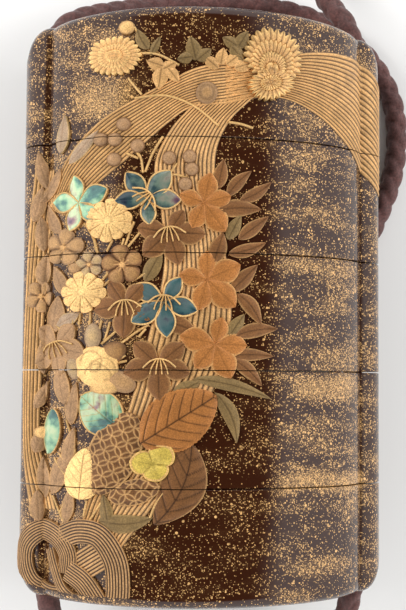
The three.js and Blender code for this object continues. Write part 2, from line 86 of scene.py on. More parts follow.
class INRO_PG_body(bpy.types.PropertyGroup):
    """Sizes of the case."""

    half_width: length_property("Half width", "Half the lens-shaped section, without the runners", 0.0246)
    half_depth: length_property("Half depth", "Half the thickness of the section", 0.0135)
    roundness: FloatProperty(name="Roundness", description="Exponent of the section's curve", default=2.1)
    end_line: length_property("End line", "From the middle to the rim of the lid", 0.0435)
    crown: length_property("Crown", "How far the end faces bulge", 0.0004)
    rim_radius: length_property("Rim radius", "How round the rims of the ends are", 0.0015)
    shoulder_radius: length_property("Shoulder radius", "How round the runners' ends are", 0.0033)
    lid_arch: length_property("Lid arch", "How far the lid's rim falls towards the runners", 0.0013)
    bottom_arch: length_property("Bottom arch", "How far the bottom's rim falls", 0.0006)
    runner_radius: length_property("Runner radius", "Radius of the cord runners", 0.004)
    runner_offset: length_property("Runner offset", "From the middle to a runner's axis", 0.0235)
    bore_radius: length_property("Bore radius", "Radius of the cord's holes", 0.002)
    bore_flare: length_property("Bore flare", "Radius of the holes' mouths", 0.003)
    seam_gap: length_property("Seam gap", "The joint that shows between two tiers", 0.00014)
    seam_bevel: length_property("Seam bevel", "How the edges at a joint are eased", 0.0001)
    riser_half_width: length_property(
        "Riser half width", "Of the collar that each box is nested by", 0.0203,
    )
    riser_half_depth: length_property(
        "Riser half depth", "Of the collar that each box is nested by", 0.0116,
    )
    riser_height: length_property("Riser height", "How far a collar stands above its box", 0.0065)
    wall: length_property("Wall", "Thickness of a collar's wall", 0.001)
    fit: length_property("Fit", "Clearance between a collar and its recess", 0.0003)
    recess_depth: length_property("Recess depth", "Depth of the recess under a box", 0.007)
    inner_floor: length_property("Floor", "Thickness of a box's floor over its recess", 0.0014)
    end_floor: length_property("End floor", "Thickness of the lid's top and the lowest floor", 0.0025)


class INRO_PG_cord(bpy.types.PropertyGroup):
    """Sizes and colours of the cord."""

    radius: length_property("Radius", "Mean radius of the cord", 0.0015)
    lobe_length: length_property("Lobe length", "From one strand's crossing to the next", 0.0031)
    colour: colour_property("Silk", "Colour of the silk", srgb(84, 52, 48))


class INRO_PG_looks(bpy.types.PropertyGroup):
    """Colours of the lacquer and the decoration."""

    lacquer: colour_property("Lacquer", "Colour of the lacquer ground", srgb(44, 17, 4))
    flake: colour_property("Gold flakes", "Colour of the gold flakes in the ground", srgb(222, 174, 112))
    gold: colour_property("Gold", "Colour of the gold work", srgb(208, 160, 102))
    pale_gold: colour_property("Pale gold", "Colour of the palest gold", srgb(240, 198, 128))
    orange_gold: colour_property("Orange gold", "Colour of the reddish gold flowers", srgb(164, 106, 54))
    bronze: colour_property("Bronze", "Colour of the brown metal work", srgb(119, 79, 44))
    grey_gold: colour_property("Grey gold", "Colour of the greenish metal leaves", srgb(122, 98, 60))
    umber: colour_property("Umber", "Colour of the dull work along the edge", srgb(158, 122, 86))
    haze: colour_property("Haze", "Colour of the silvery leaves and buds", srgb(160, 134, 108))
    deep: colour_property("Deep", "Colour of what is sunk between raised lines", srgb(48, 26, 10))
    foil: colour_property("Foil", "Colour of the yellow foil", srgb(196, 170, 78))
    shell_mint: colour_property("Pale shell", "Tint of the palest shell", srgb(226, 236, 208))
    shell_dusk: colour_property("Dusky shell", "Tint of the shell in the middle range", srgb(150, 142, 140))
    shell_navy: colour_property("Dark shell", "Tint of the darkest shell", srgb(96, 112, 126))
    floor: colour_property("Floor", "Colour of the floor", srgb(226, 225, 223))


# ---- Tools for every piece ----------------------------------------------------------------------


def deselect_all():
    if bpy.context.object and bpy.context.object.mode != "OBJECT":
        bpy.ops.object.mode_set(mode="OBJECT")
    bpy.ops.object.select_all(action="DESELECT")


def pick(*pieces):
    """Selects only these objects, the first of them active."""
    deselect_all()
    for piece in pieces:
        piece.select_set(True)
    bpy.context.view_layer.objects.active = pieces[0]


def apply_modifiers(piece):
    pick(piece)
    for modifier in list(piece.modifiers):
        bpy.ops.object.modifier_apply(modifier=modifier.name)


def join(pieces, name):
    pick(*pieces)
    if len(pieces) > 1:
        bpy.ops.object.join()
    joined = bpy.context.object
    joined.name = name
    joined.data.name = name
    return joined


def shade_smooth(piece, degrees=35):
    pick(piece)
    bpy.ops.object.shade_smooth_by_angle(angle=math.radians(degrees))


def give_material(piece, material):
    piece.data.materials.clear()
    piece.data.materials.append(material)


def dress(piece, material, slot, *stands_for):
    """Gives a finished piece its material and its place in the part, and hides the nodes that it stands for.
    """
    give_material(piece, material)
    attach(piece, "root")
    if stands_for:
        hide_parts(*stands_for)
    return piece


def lofted(name, rings):
    """A closed skin through rings of equal count: one ring of edges is extruded from ring to ring.

    A single point at either end of the list closes that end with a fan.
    """
    start, *middle, end = rings
    count = len(middle[0])
    bpy.ops.mesh.primitive_circle_add(vertices=count, radius=1, fill_type="TRIFAN")
    piece = bpy.context.object
    piece.name = name
    mesh = bmesh.new()
    mesh.from_mesh(piece.data)
    mesh.verts.ensure_lookup_table()
    hub = next(vertex for vertex in mesh.verts if len(vertex.link_edges) == count)
    hub.co = start
    turn = lambda vertex: math.atan2(vertex.co.y, vertex.co.x) % (2 * math.pi)
    loop = sorted((vertex for vertex in mesh.verts if vertex is not hub), key=turn)
    for vertex, point in zip(loop, middle[0]):
        vertex.co = point
    for ring in middle[1:]:
        edges = [
            next(edge for edge in vertex.link_edges if edge.other_vert(vertex) is after)
            for vertex, after in zip(loop, loop[1:] + loop[:1])
        ]
        made = bmesh.ops.extrude_edge_only(mesh, edges=edges)["geom"]
        fresh = {item for item in made if isinstance(item, bmesh.types.BMVert)}
        loop = [
            next(edge.other_vert(vertex) for edge in vertex.link_edges if edge.other_vert(vertex) in fresh)
            for vertex in loop
        ]
        for vertex, point in zip(loop, ring):
            vertex.co = point
    cap = mesh.verts.new(end)
    for vertex, after in zip(loop, loop[1:] + loop[:1]):
        mesh.faces.new((vertex, after, cap))
    bmesh.ops.recalc_face_normals(mesh, faces=mesh.faces)
    mesh.to_mesh(piece.data)
    mesh.free()
    return piece


# ---- The section of the case ---------------------------------------------------------------------


class Section:
    """The outline across the case: a lens with a round cord runner at each side."""

    LENS_STEPS = 56
    RUNNER_STEPS = 20
    LENS_SAMPLES = 900
    RUNNER_SAMPLES = 300
    TABLE_SIZE = 4001
    # How far round the runner the raised work may reach, and over what length its normals are evened out.
    RUNNER_END = -0.35
    EVENED_OUT = 0.45 * MM

    def __init__(self, body):
        self.body = body
        self.trace_front()

    def lens_depth(self, x, grow=0.0):
        body = self.body
        share = min(abs(x) / (body.half_width + grow), 1)
        return (body.half_depth + grow) * (1 - share ** body.roundness) ** (1 / body.roundness)

    def groove(self, grow=0.0):
        """Where the lens meets the runner's round, found by halving."""
        body = self.body
        radius = body.runner_radius + grow
        low, high = body.runner_offset - radius, body.half_width + grow
        for _ in range(40):
            x = (low + high) / 2
            round_depth = math.sqrt(max(radius ** 2 - (x - body.runner_offset) ** 2, 0))
            if self.lens_depth(x, grow) > round_depth:
                low = x
            else:
                high = x
        return low

    def outline(self, grow=0.0):
        """The closed outline as (x, depth) pairs, anticlockwise from the right, with equal counts."""
        body = self.body
        groove = self.groove(grow)
        wide, deep = body.half_width + grow, body.half_depth + grow
        power = 2 / body.roundness
        lens_start = math.acos((groove / wide) ** (1 / power))
        radius = body.runner_radius + grow
        runner_start = math.acos(max(-1, min(1, (groove - body.runner_offset) / radius)))
        half = []
        for step in range(self.RUNNER_STEPS):
            angle = runner_start * (-1 + 2 * step / self.RUNNER_STEPS)
            half.append((body.runner_offset + radius * math.cos(angle), radius * math.sin(angle)))
        for step in range(self.LENS_STEPS):
            angle = lens_start + (math.pi - 2 * lens_start) * step / self.LENS_STEPS
            across = math.copysign(abs(math.cos(angle)) ** power, math.cos(angle))
            half.append((wide * across, deep * math.sin(angle) ** power))
        return half + [(-x, -depth) for x, depth in half]

    def inner_outline(self, half_width, half_depth):
        """A plain lens inside the case, point for point in line with the outer outline."""
        body = self.body
        power = body.roundness / 2
        points = []
        for x, depth in self.outline():
            across = (abs(x) / body.half_width) ** power
            deep = (abs(depth) / body.half_depth) ** power
            size = math.hypot(across, deep)
            points.append((
                math.copysign(half_width * (across / size) ** (1 / power), x),
                math.copysign(half_depth * (deep / size) ** (1 / power), depth),
            ))
        return points

    def trace_front(self):
        """Tables of the front's line by arc length from the middle: place and smoothed normal."""
        body = self.body
        groove = self.groove()
        lens_x = groove * np.sin(np.linspace(0, math.pi / 2, self.LENS_SAMPLES))
        lens = np.stack([lens_x, [self.lens_depth(x) for x in lens_x]], 1)
        start = math.acos((groove - body.runner_offset) / body.runner_radius)
        angle = np.linspace(start, self.RUNNER_END, self.RUNNER_SAMPLES)[1:]
        runner = np.stack([
            body.runner_offset + body.runner_radius * np.cos(angle),
            body.runner_radius * np.sin(angle),
        ], 1)
        half = np.concatenate([lens, runner])
        line = np.concatenate([half[:0:-1] * (-1, 1), half])
        reach = np.concatenate([[0], np.cumsum(np.linalg.norm(np.diff(line, axis=0), axis=1))])
        reach -= reach[-1] / 2
        even = np.linspace(reach[0], reach[-1], self.TABLE_SIZE)
        x, depth = np.interp(even, reach, line[:, 0]), np.interp(even, reach, line[:, 1])
        normal = np.stack([-np.gradient(depth), np.gradient(x)], 1)
        normal /= np.linalg.norm(normal, axis=1)[:, None]
        kernel = np.ones(max(int(self.EVENED_OUT / (even[1] - even[0])), 1))
        margin = len(kernel) // 2
        evened = []
        for part in normal.T:
            padded = np.pad(part, margin, mode="edge")
            evened.append(np.convolve(padded, kernel / kernel.sum(), "same")[margin:][:self.TABLE_SIZE])
        smooth = np.stack(evened, 1)
        smooth /= np.linalg.norm(smooth, axis=1)[:, None]
        self.arc, self.line_x, self.line_depth, self.line_normal = even, x, depth, smooth

    def arc_at(self, x):
        """Arc length from the middle of the front to the place above x."""
        order = np.argsort(self.line_x)
        return np.interp(x, self.line_x[order], self.arc[order])

    def wrap(self, arc, y, rise, side=1):
        """Points on the front, or on the back with side -1, at these arc lengths, raised by rise."""
        x = np.interp(arc, self.arc, self.line_x)
        depth = np.interp(arc, self.arc, self.line_depth)
        across = np.interp(arc, self.arc, self.line_normal[:, 0])
        out = np.interp(arc, self.arc, self.line_normal[:, 1])
        z = np.maximum(MID + side * (depth + out * rise), 0)
        return np.stack([x + across * rise, np.broadcast_to(y, x.shape), z], 1)


def rim_fall(body, x, arch):
    """How far the rim of an end has fallen at x, by its arch and the runners' round shoulders."""
    flat = 24 * MM
    out = abs(x)
    past = min(max(out - flat, 0), body.shoulder_radius * 0.995)
    shoulder = body.shoulder_radius - math.sqrt(body.shoulder_radius ** 2 - past ** 2)
    return arch * (out / flat) ** 2 + shoulder


def ring(outline, height):
    """A ring of an outline across the case; height is a number, or gives each point's by its x."""
    at = height if callable(height) else lambda x: height
    return [Vector((x, at(x), max(MID + depth, 0))) for x, depth in outline]


def end_rings(section, arch, side):
    """The rings of a domed end from its wall to its middle, and the middle itself."""
    body = section.body
    rings = []
    round_steps = 6
    for step in range(round_steps + 1):
        turn = math.pi / 2 * step / round_steps
        inset = body.rim_radius * (1 - math.cos(turn))
        fall = body.rim_radius * (1 - math.sin(turn))
        rings.append(ring(
            section.outline(-inset),
            lambda x, fall=fall: side * (body.end_line - fall - rim_fall(body, x, arch)),
        ))
    face = rings[-1]
    for share in (0.85, 0.68, 0.5, 0.32, 0.16):
        level = body.end_line + body.crown * (1 - share ** 2)
        rings.append([
            Vector((
                point.x * share,
                side * (level - rim_fall(body, point.x * share, arch)),
                MID + (point.z - MID) * share,
            ))
            for point in face
        ])
    return rings, Vector((0, side * (body.end_line + body.crown), MID))


# ---- Lid and boxes -------------------------------------------------------------------------------


def seam_lines():
    """The heights of the joints between the tiers, read off the frame, from the lid down."""
    lines = []
    for upper, lower in zip(TIERS, TIERS[1:]):
        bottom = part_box(upper)[0].y
        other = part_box(lower)[1].y - (bpy.context.scene.inro_body.riser_height)
        lines.append((bottom + other) / 2)
    return lines


def tier_span(tier):
    """The lowest and highest y of a tier's outer wall; the ends are left open-ended."""
    body = bpy.context.scene.inro_body
    seams = seam_lines()
    top = body.end_line + body.crown if tier == 0 else seams[tier - 1] - body.seam_gap / 2
    bottom = -body.end_line - body.crown if tier == len(TIERS) - 1 else seams[tier] + body.seam_gap / 2
    return bottom, top


def wall_foot(section, height, up):
    """The two rings that ease a wall's edge at a joint; up is +1 where the wall goes up from it."""
    bevel = section.body.seam_bevel
    return [
        ring(section.outline(-bevel), height),
        ring(section.outline(), height + up * bevel),
    ]


def tier_rings(section, tier):
    """Rings from the middle of a tier's underside round its outside and down into its inside."""
    body = section.body
    bottom, top = tier_span(tier)
    last = len(TIERS) - 1
    recess = section.inner_outline(body.riser_half_width + body.fit, body.riser_half_depth + body.fit)
    riser = section.inner_outline(body.riser_half_width, body.riser_half_depth)
    eased = section.inner_outline(body.riser_half_width - 0.25 * MM, body.riser_half_depth - 0.25 * MM)
    inside = section.inner_outline(body.riser_half_width - body.wall, body.riser_half_depth - body.wall)
    if tier < last:
        ceiling = body.end_line - body.end_floor if tier == 0 else bottom + body.recess_depth
        rings = [Vector((0, ceiling, MID)), ring(recess, ceiling), ring(recess, bottom)]
        rings += wall_foot(section, bottom, 1)
    else:
        ends, middle = end_rings(section, body.bottom_arch, -1)
        rings = [middle, *reversed(ends)]
    if tier == 0:
        ends, middle = end_rings(section, body.lid_arch, 1)
        return [*rings, *ends, middle]
    riser_top = top + body.riser_height
    floor = -body.end_line + body.end_floor if tier == last else bottom + body.recess_depth + body.inner_floor
    rings += reversed(wall_foot(section, top, -1))
    rings += [ring(riser, top), ring(riser, riser_top - 0.25 * MM), ring(eased, riser_top)]
    rings += [ring(inside, riser_top), ring(inside, floor), Vector((0, floor, MID))]
    return rings


def bore_cutter(section, side):
    """The cord's hole down one runner, flared where it comes out of the lid and of the bottom."""
    body = section.body
    beyond = 2 * MM
    deep = 3 * MM
    lid_mouth = body.end_line - body.lid_arch
    bottom_mouth = body.bottom_arch - body.end_line
    widest = body.bore_flare + beyond * (body.bore_flare - body.bore_radius) / deep
    profile = [
        (widest, bottom_mouth - beyond),
        (body.bore_flare, bottom_mouth),
        (body.bore_radius + 0.15 * MM, bottom_mouth + deep * 0.7),
        (body.bore_radius, bottom_mouth + deep * 1.2),
        (body.bore_radius, lid_mouth - deep * 1.2),
        (body.bore_radius + 0.15 * MM, lid_mouth - deep * 0.7),
        (body.bore_flare, lid_mouth),
        (widest, lid_mouth + beyond),
    ]
    sides = 40
    x = side * body.runner_offset
    turns = [2 * math.pi * i / sides for i in range(sides)]
    rings = [
        [Vector((x + r * math.cos(t), y, MID + r * math.sin(t))) for t in turns] for r, y in profile
    ]
    start, end = Vector((x, profile[0][1], MID)), Vector((x, profile[-1][1], MID))
    return lofted("bore_cutter", [start, *rings, end])


class INRO_OT_tiers(bpy.types.Operator):
    """Model the lid and the four nested boxes, each hollow and bored for the cord"""

    bl_idname = "inro.tiers"
    bl_label = "Lid and boxes"

    def execute(self, context):
        section = Section(context.scene.inro_body)
        material = lacquer_material(context.scene.inro_looks)
        cutters = [bore_cutter(section, side) for side in (-1, 1)]
        for tier, node in enumerate(TIERS):
            piece = lofted(node + "_body", tier_rings(section, tier))
            for cutter in cutters:
                cut = piece.modifiers.new("bore", "BOOLEAN")
                cut.operation = "DIFFERENCE"
                cut.solver = "EXACT"
                cut.object = cutter
            apply_modifiers(piece)
            shade_smooth(piece, 30)
            dress(piece, material, "gold_flecked_lacquer", node)
        for cutter in cutters:
            bpy.data.objects.remove(cutter)
        return {"FINISHED"}


# ---- Materials -----------------------------------------------------------------------------------


class Nodes:
    """A material's node tree, built from its shader back."""

    def __init__(self, name):
        self.material = bpy.data.materials.new(name)
        self.material.use_nodes = True
        self.tree = self.material.node_tree
        self.shader = self.tree.nodes["Principled BSDF"]

    def add(self, kind, settings=None, **inputs):
        node = self.tree.nodes.new(kind)
        for key, value in (settings or {}).items():
            setattr(node, key, value)
        for key, value in inputs.items():
            self.feed(node, key, value)
        return node

    def feed(self, node, key, value):
        """Sets an input by its name, with _ for a space, or by its number as i0, i1 and so on."""
        number = key[1:].isdigit() and key[0] == "i"
        socket = node.inputs[int(key[1:])] if number else node.inputs[key.replace("_", " ")]
        if isinstance(value, bpy.types.NodeSocket):
            self.tree.links.new(value, socket)
        else:
            socket.default_value = value

    def set(self, **inputs):
        for key, value in inputs.items():
            self.feed(self.shader, key, value)

    def math(self, operation, one, two=0.0):
        return self.add("ShaderNodeMath", {"operation": operation}, i0=one, i1=two).outputs[0]

    def times(self, *values):
        product = values[0]
        for value in values[1:]:
            product = self.math("MULTIPLY", product, value)
        return product

    def vector(self, operation, one, **others):
        return self.add("ShaderNodeVectorMath", {"operation": operation}, i0=one, **others).outputs[0]

    def mix(self, share, one, two):
        """A mix of two colours by a share."""
        node = self.add("ShaderNodeMix", {"data_type": "RGBA"}, i0=share)
        for number, value in ((6, one), (7, two)):
            plain = not isinstance(value, bpy.types.NodeSocket)
            self.feed(node, f"i{number}", (*value[:3], 1) if plain else value)
        return node.outputs[2]

    def smooth(self, value, low, high, start=0.0, end=1.0):
        """start to end as the value goes from low to high, eased."""
        node = self.add("ShaderNodeMapRange", {"interpolation_type": "SMOOTHSTEP"})
        for number, item in enumerate((value, low, high, start, end)):
            self.feed(node, f"i{number}", item)
        return node.outputs[0]

    def noise(self, vector, scale, detail=2.0, roughness=0.5):
        node = self.add(
            "ShaderNodeTexNoise", Vector=vector, Scale=scale, Detail=detail, Roughness=roughness,
        )
        return node.outputs[0]


# Bands where the flakes lie thick: height, half its depth, where it starts and ends across, and strength.
FLAKE_BANDS = [
    (5.4, 1.3, 8, 23, 0.7), (-7.6, 1.6, 14, 23, 0.6), (-12.0, 2.1, 11, 23, 0.9), (-18.2, 1.2, 8, 15, 0.6),
    (-26.0, 1.7, 8, 25, 0.9), (-38.0, 1.2, 10, 21, 0.6), (29.5, 3.0, -21, -11, 0.9),
    (38.5, 1.6, -19, -11, 0.7), (37.2, 1.2, 9, 18, 0.5),
]
# The flakes' sizes in millimetres, each with its share of what is strewn.
FLAKE_SIZES = ((0.18, 1.0), (0.28, 0.5), (0.46, 0.14))
# How far the flakes lean, and the size of the patches that lean alike.
FLAKE_TILT = 0.7
FLAKE_FACET = 0.25


def flake_density(nodes, place):
    """How thick the flakes lie: a drifting ground, the bands, and fewer in the middle and behind."""
    axes = nodes.add("ShaderNodeSeparateXYZ", Vector=place).outputs
    x, y, z = (nodes.times(axis, 1 / MM) for axis in axes)
    drawn = nodes.add("ShaderNodeMapping", Vector=place, Scale=(0.35, 1.0, 0.35)).outputs[0]
    density = nodes.smooth(nodes.noise(drawn, 330, 3, 0.6), 0.38, 0.68, 0.14, 0.62)
    wave = nodes.times(nodes.math("SUBTRACT", nodes.noise(place, 130, 1), 0.5), 3.0)
    height = nodes.math("ADD", y, wave)
    for middle, half, start, end, strength in FLAKE_BANDS:
        off = nodes.math("ABSOLUTE", nodes.math("SUBTRACT", height, middle))
        band = nodes.smooth(off, half * 1.7, half * 0.2, 0.0, strength)
        reach = nodes.times(nodes.smooth(x, start - 2, start + 3), nodes.smooth(x, end + 2, end - 2))
        density = nodes.math("MAXIMUM", density, nodes.times(band, reach))
    front = nodes.smooth(z, MID_MM - 2, MID_MM + 2, 0.55, 1.0)
    beside = nodes.smooth(nodes.math("ABSOLUTE", x), 5.0, 13.0, 0.42, 1.0)
    return nodes.times(density, front, beside)


def lacquer_material(looks):
    """Black-brown lacquer sown with gold flakes that drift in bands, under a clear polished coat."""
    nodes = Nodes("gold_flecked_lacquer")
    place = nodes.add("ShaderNodeTexCoord").outputs["Object"]
    density = flake_density(nodes, place)
    flakes, hue = None, None
    for size, share in FLAKE_SIZES:
        cell = nodes.add("ShaderNodeTexVoronoi", Vector=place, Scale=1 / (size * MM), Randomness=1.0)
        parts = nodes.add("ShaderNodeSeparateColor", Color=cell.outputs["Color"]).outputs
        chosen = nodes.math("LESS_THAN", parts[0], nodes.times(density, share))
        flake = nodes.times(chosen, nodes.smooth(cell.outputs["Distance"], 0.52, 0.36))
        if flakes is None:
            flakes, hue = flake, parts[1]
            continue
        flakes = nodes.math("MAXIMUM", flakes, flake)
        kept = nodes.times(hue, nodes.math("SUBTRACT", 1.0, flake))
        hue = nodes.math("ADD", kept, nodes.times(parts[1], flake))
    dust = nodes.times(density, density, nodes.smooth(nodes.noise(place, 9000, 1), 0.4, 0.65))
    ground = nodes.mix(nodes.times(dust, 0.55), looks.lacquer, looks.flake)
    dull = [channel * 0.55 for channel in looks.flake]
    bright = [min(channel * 1.35, 1) for channel in looks.flake]
    base = nodes.mix(flakes, ground, nodes.mix(hue, dull, bright))
    facet = nodes.add("ShaderNodeTexVoronoi", Vector=place, Scale=1 / (FLAKE_FACET * MM)).outputs["Color"]
    centred = nodes.vector("SUBTRACT", facet, i1=(0.5, 0.5, 0.5))
    lean = nodes.vector("SCALE", centred, Scale=nodes.times(flakes, FLAKE_TILT))
    normal = nodes.add("ShaderNodeNewGeometry").outputs["Normal"]
    tilted = nodes.vector("NORMALIZE", nodes.vector("ADD", normal, i1=lean))
    nodes.set(
        Base_Color=base, Metallic=nodes.times(flakes, 0.75), Roughness=0.42, Specular_IOR_Level=0.05,
        Normal=tilted, Coat_Weight=1.0, Coat_Roughness=0.08, Coat_IOR=1.5,
    )
    return nodes.material


def metal_material(name, metallic, roughness):
    """Sprinkled metal powder on raised lacquer, in the colours that the work carries, with the highlights and
    shade painted into them.
    """
    nodes = Nodes(name)
    place = nodes.add("ShaderNodeTexCoord").outputs["Object"]
    tint = nodes.add("ShaderNodeAttribute", {"attribute_name": "tint"}).outputs["Color"]
    grain = nodes.noise(place, 5200, 2, 0.6)
    worn = nodes.smooth(nodes.noise(place, 420, 3, 0.6), 0.3, 0.7, 0.86, 1.12)
    shade = nodes.times(nodes.smooth(grain, 0.3, 0.7, 0.74, 1.24), worn)
    colour = nodes.vector("SCALE", tint, Scale=shade)
    bump = nodes.add("ShaderNodeBump", Strength=0.25, Distance=0.00004, Height=grain).outputs[0]
    nodes.set(Base_Color=colour, Metallic=metallic, Roughness=roughness, Normal=bump)
    return nodes.material


# The shell's colours, each with its place in the swirl.
SHELL_COLOURS = [
    (0.3, (44, 58, 86)), (0.42, (82, 122, 128)), (0.5, (162, 198, 178)), (0.58, (212, 218, 194)),
    (0.66, (164, 124, 142)), (0.75, (62, 62, 100)),
]


def shell_material():
    """Mother-of-pearl: colours that swim from green to blue and rose under a polished face."""
    nodes = Nodes("shell_inlay")
    place = nodes.add("ShaderNodeTexCoord").outputs["Object"]
    # The stored colour carries the painted highlights of the shell petals and leaves as well.
    tint = nodes.add("ShaderNodeAttribute", {"attribute_name": "tint"}).outputs["Color"]
    swirl, fine = nodes.noise(place, 260, 2, 0.5), nodes.noise(place, 900, 3, 0.6)
    where = nodes.math("ADD", nodes.times(swirl, 0.75), nodes.times(fine, 0.25))
    ramp = nodes.add("ShaderNodeValToRGB", Fac=where)
    elements = ramp.color_ramp.elements
    while len(elements) < len(SHELL_COLOURS):
        elements.new(0.5)
    for element, (at, colour) in zip(elements, SHELL_COLOURS):
        element.position = at
        element.color = (*srgb(*colour), 1)
    blend_of_both = {"data_type": "RGBA", "blend_type": "MULTIPLY"}
    mixed = nodes.add("ShaderNodeMix", blend_of_both, i0=1.0, i6=ramp.outputs[0], i7=tint).outputs[2]
    nodes.set(Base_Color=mixed, Metallic=0.15, Roughness=0.22, Coat_Weight=0.6, Coat_Roughness=0.08)
    return nodes.material


def silk_material(cord):
    """Braided silk with the sheen of its fine threads."""
    nodes = Nodes("braided_silk")
    place = nodes.add("ShaderNodeTexCoord").outputs["Object"]
    fibre = nodes.noise(place, 2600, 3, 0.65)
    slow = nodes.smooth(nodes.noise(place, 320, 2), 0.3, 0.7, 0.85, 1.15)
    shade = nodes.times(nodes.smooth(fibre, 0.3, 0.7, 0.6, 1.35), slow)
    colour = nodes.vector("SCALE", tuple(cord.colour), Scale=shade)
    bump = nodes.add("ShaderNodeBump", Strength=0.5, Distance=0.0001, Height=fibre).outputs[0]
    nodes.set(Base_Color=colour, Roughness=0.7, Sheen_Weight=0.15, Sheen_Roughness=0.5, Normal=bump)
    return nodes.material


# ---- Cord ----------------------------------------------------------------------------------------

# The route's points, in millimetres.
ON_FLOOR = 1.6
STRAND_START = 37.2
LOOP_START = -39.5

LEFT_STRAND = [
    (-23.5, STRAND_START, MID_MM), (-23.5, 39, MID_MM), (-23.1, 41.1, 13.3), (-22.1, 43, 12.9),
    (-20.4, 44.5, 12.1), (-17.8, 45.9, 10.6), (-14.3, 47.3, 8.4), (-10.3, 48.8, 5.8),
    (-5.6, 50.2, 3.4), (-0.4, 51.1, 1.9), (5.5, 51.5, ON_FLOOR), (12, 51.2, ON_FLOOR),
    (18.2, 50, ON_FLOOR), (23.2, 47.9, ON_FLOOR), (27.2, 45, ON_FLOOR), (30.5, 41.2, ON_FLOOR),
    (32.8, 36.8, ON_FLOOR), (33.8, 32, ON_FLOOR), (33.7, 27, ON_FLOOR), (32.7, 22, ON_FLOOR),
    (30.9, 17.2, ON_FLOOR), (28.6, 12.2, ON_FLOOR), (26.2, 7, ON_FLOOR), (24.2, 1.5, ON_FLOOR),
    (22.9, -5, ON_FLOOR), (22.6, -12, ON_FLOOR), (23.2, -25, ON_FLOOR),
]
RIGHT_STRAND = [
    (23.5, STRAND_START, MID_MM), (23.5, 41.4, MID_MM), (23.2, 43.6, 13.3), (22.4, 45.7, 12.8),
    (21.3, 47.7, 11.7), (20.3, 50, 9.9), (19.7, 52.8, 7.6), (19.5, 56.4, 4.6), (19.4, 60, 2.4),
    (19.4, 66.6, ON_FLOOR),
]
LOOP_HALF = [
    (-23.5, LOOP_START, MID_MM), (-23.4, -42.3, MID_MM), (-22.8, -45.4, 13), (-21.6, -49, 11.2),
    (-19.4, -52.4, 8), (-16, -55.2, 4.6), (-11.4, -57, 2.3), (-6, -57.9, ON_FLOOR),
]
BOTTOM_LOOP = [*LOOP_HALF, (0, -58.2, ON_FLOOR), *[(-x, y, z) for x, y, z in reversed(LOOP_HALF)]]


def coil_route():
    """The coil's turns beyond the right strand: outer and inner on the floor, then two on top."""
    low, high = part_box("cord_coil")
    centre = (low + high) / 2 / MM
    outer_edge = (high.x - low.x) / 2 / MM
    radius = 1.5
    outer, inner = outer_edge - radius, outer_edge - 3 * radius
    lower, upper = ON_FLOOR, ON_FLOOR + 2 * radius
    laps = [(outer, lower), (inner, lower), (inner, upper), (outer, upper)]
    steps = 28
    change = 0.12
    points = []
    for lap, (reach, level) in enumerate(laps):
        before = laps[max(lap - 1, 0)]
        for step in range(steps):
            share = step / steps
            moved = min(share / change, 1)
            moved = moved * moved * (3 - 2 * moved)
            r = before[0] + (reach - before[0]) * moved
            z = before[1] + (level - before[1]) * moved
            angle = 2 * math.pi * share
            points.append((centre.x + r * math.cos(angle), centre.y + r * math.sin(angle), z))
    return points


def smooth_route(points, step):
    """Points a step apart on the smooth curve (a centripetal Catmull-Rom) through a route."""
    route = [Vector(point) for point in points]
    padded = [2 * route[0] - route[1], *route, 2 * route[-1] - route[-2]]
    fine = []
    for p0, p1, p2, p3 in zip(padded, padded[1:], padded[2:], padded[3:]):
        t0 = 0.0
        t1 = t0 + max((p1 - p0).length, 1e-9) ** 0.5
        t2 = t1 + max((p2 - p1).length, 1e-9) ** 0.5
        t3 = t2 + max((p3 - p2).length, 1e-9) ** 0.5
        for i in range(24):
            t = t1 + (t2 - t1) * i / 24
            a1 = p0 * ((t1 - t) / (t1 - t0)) + p1 * ((t - t0) / (t1 - t0))
            a2 = p1 * ((t2 - t) / (t2 - t1)) + p2 * ((t - t1) / (t2 - t1))
            a3 = p2 * ((t3 - t) / (t3 - t2)) + p3 * ((t - t2) / (t3 - t2))
            b1 = a1 * ((t2 - t) / (t2 - t0)) + a2 * ((t - t0) / (t2 - t0))
            b2 = a2 * ((t3 - t) / (t3 - t1)) + a3 * ((t - t1) / (t3 - t1))
            fine.append(b1 * ((t2 - t) / (t2 - t1)) + b2 * ((t - t1) / (t2 - t1)))
    fine.append(route[-1])
    line = np.array(fine)
    reach = np.concatenate([[0], np.cumsum(np.linalg.norm(np.diff(line, axis=0), axis=1))])
    count = max(int(round(reach[-1] / step)), 2)
    even = np.linspace(0, reach[-1], count + 1)
    return np.stack([np.interp(even, reach, line[:, k]) for k in range(3)], 1), reach[-1]


def braid_radius(turn, along, cord):
    """The cord's radius at a turn round it and a length along it: lobes where strands cross."""
    radius = cord.radius
    pitch = cord.lobe_length
    lift = np.zeros(np.broadcast(turn, along).shape)
    lean = 0.62
    for column in range(4):
        middle = column * math.pi / 2
        across = (np.mod(turn - middle + math.pi, 2 * math.pi) - math.pi) * radius
        shifted = along - (column % 2) * pitch / 2
        side = 1 if column % 2 else -1
        for lap in (-1, 0, 1):
            off = np.mod(shifted + pitch / 2, pitch) - pitch / 2 + lap * pitch
            long = off * math.cos(lean) + side * across * math.sin(lean)
            wide = -side * off * math.sin(lean) + across * math.cos(lean)
            far = (long / (pitch * 0.78)) ** 2 + (wide / (radius * 0.72)) ** 2
            lift = np.maximum(lift, np.sqrt(np.clip(1 - far, 0, 1)))
    return radius * (0.84 + 0.36 * lift)


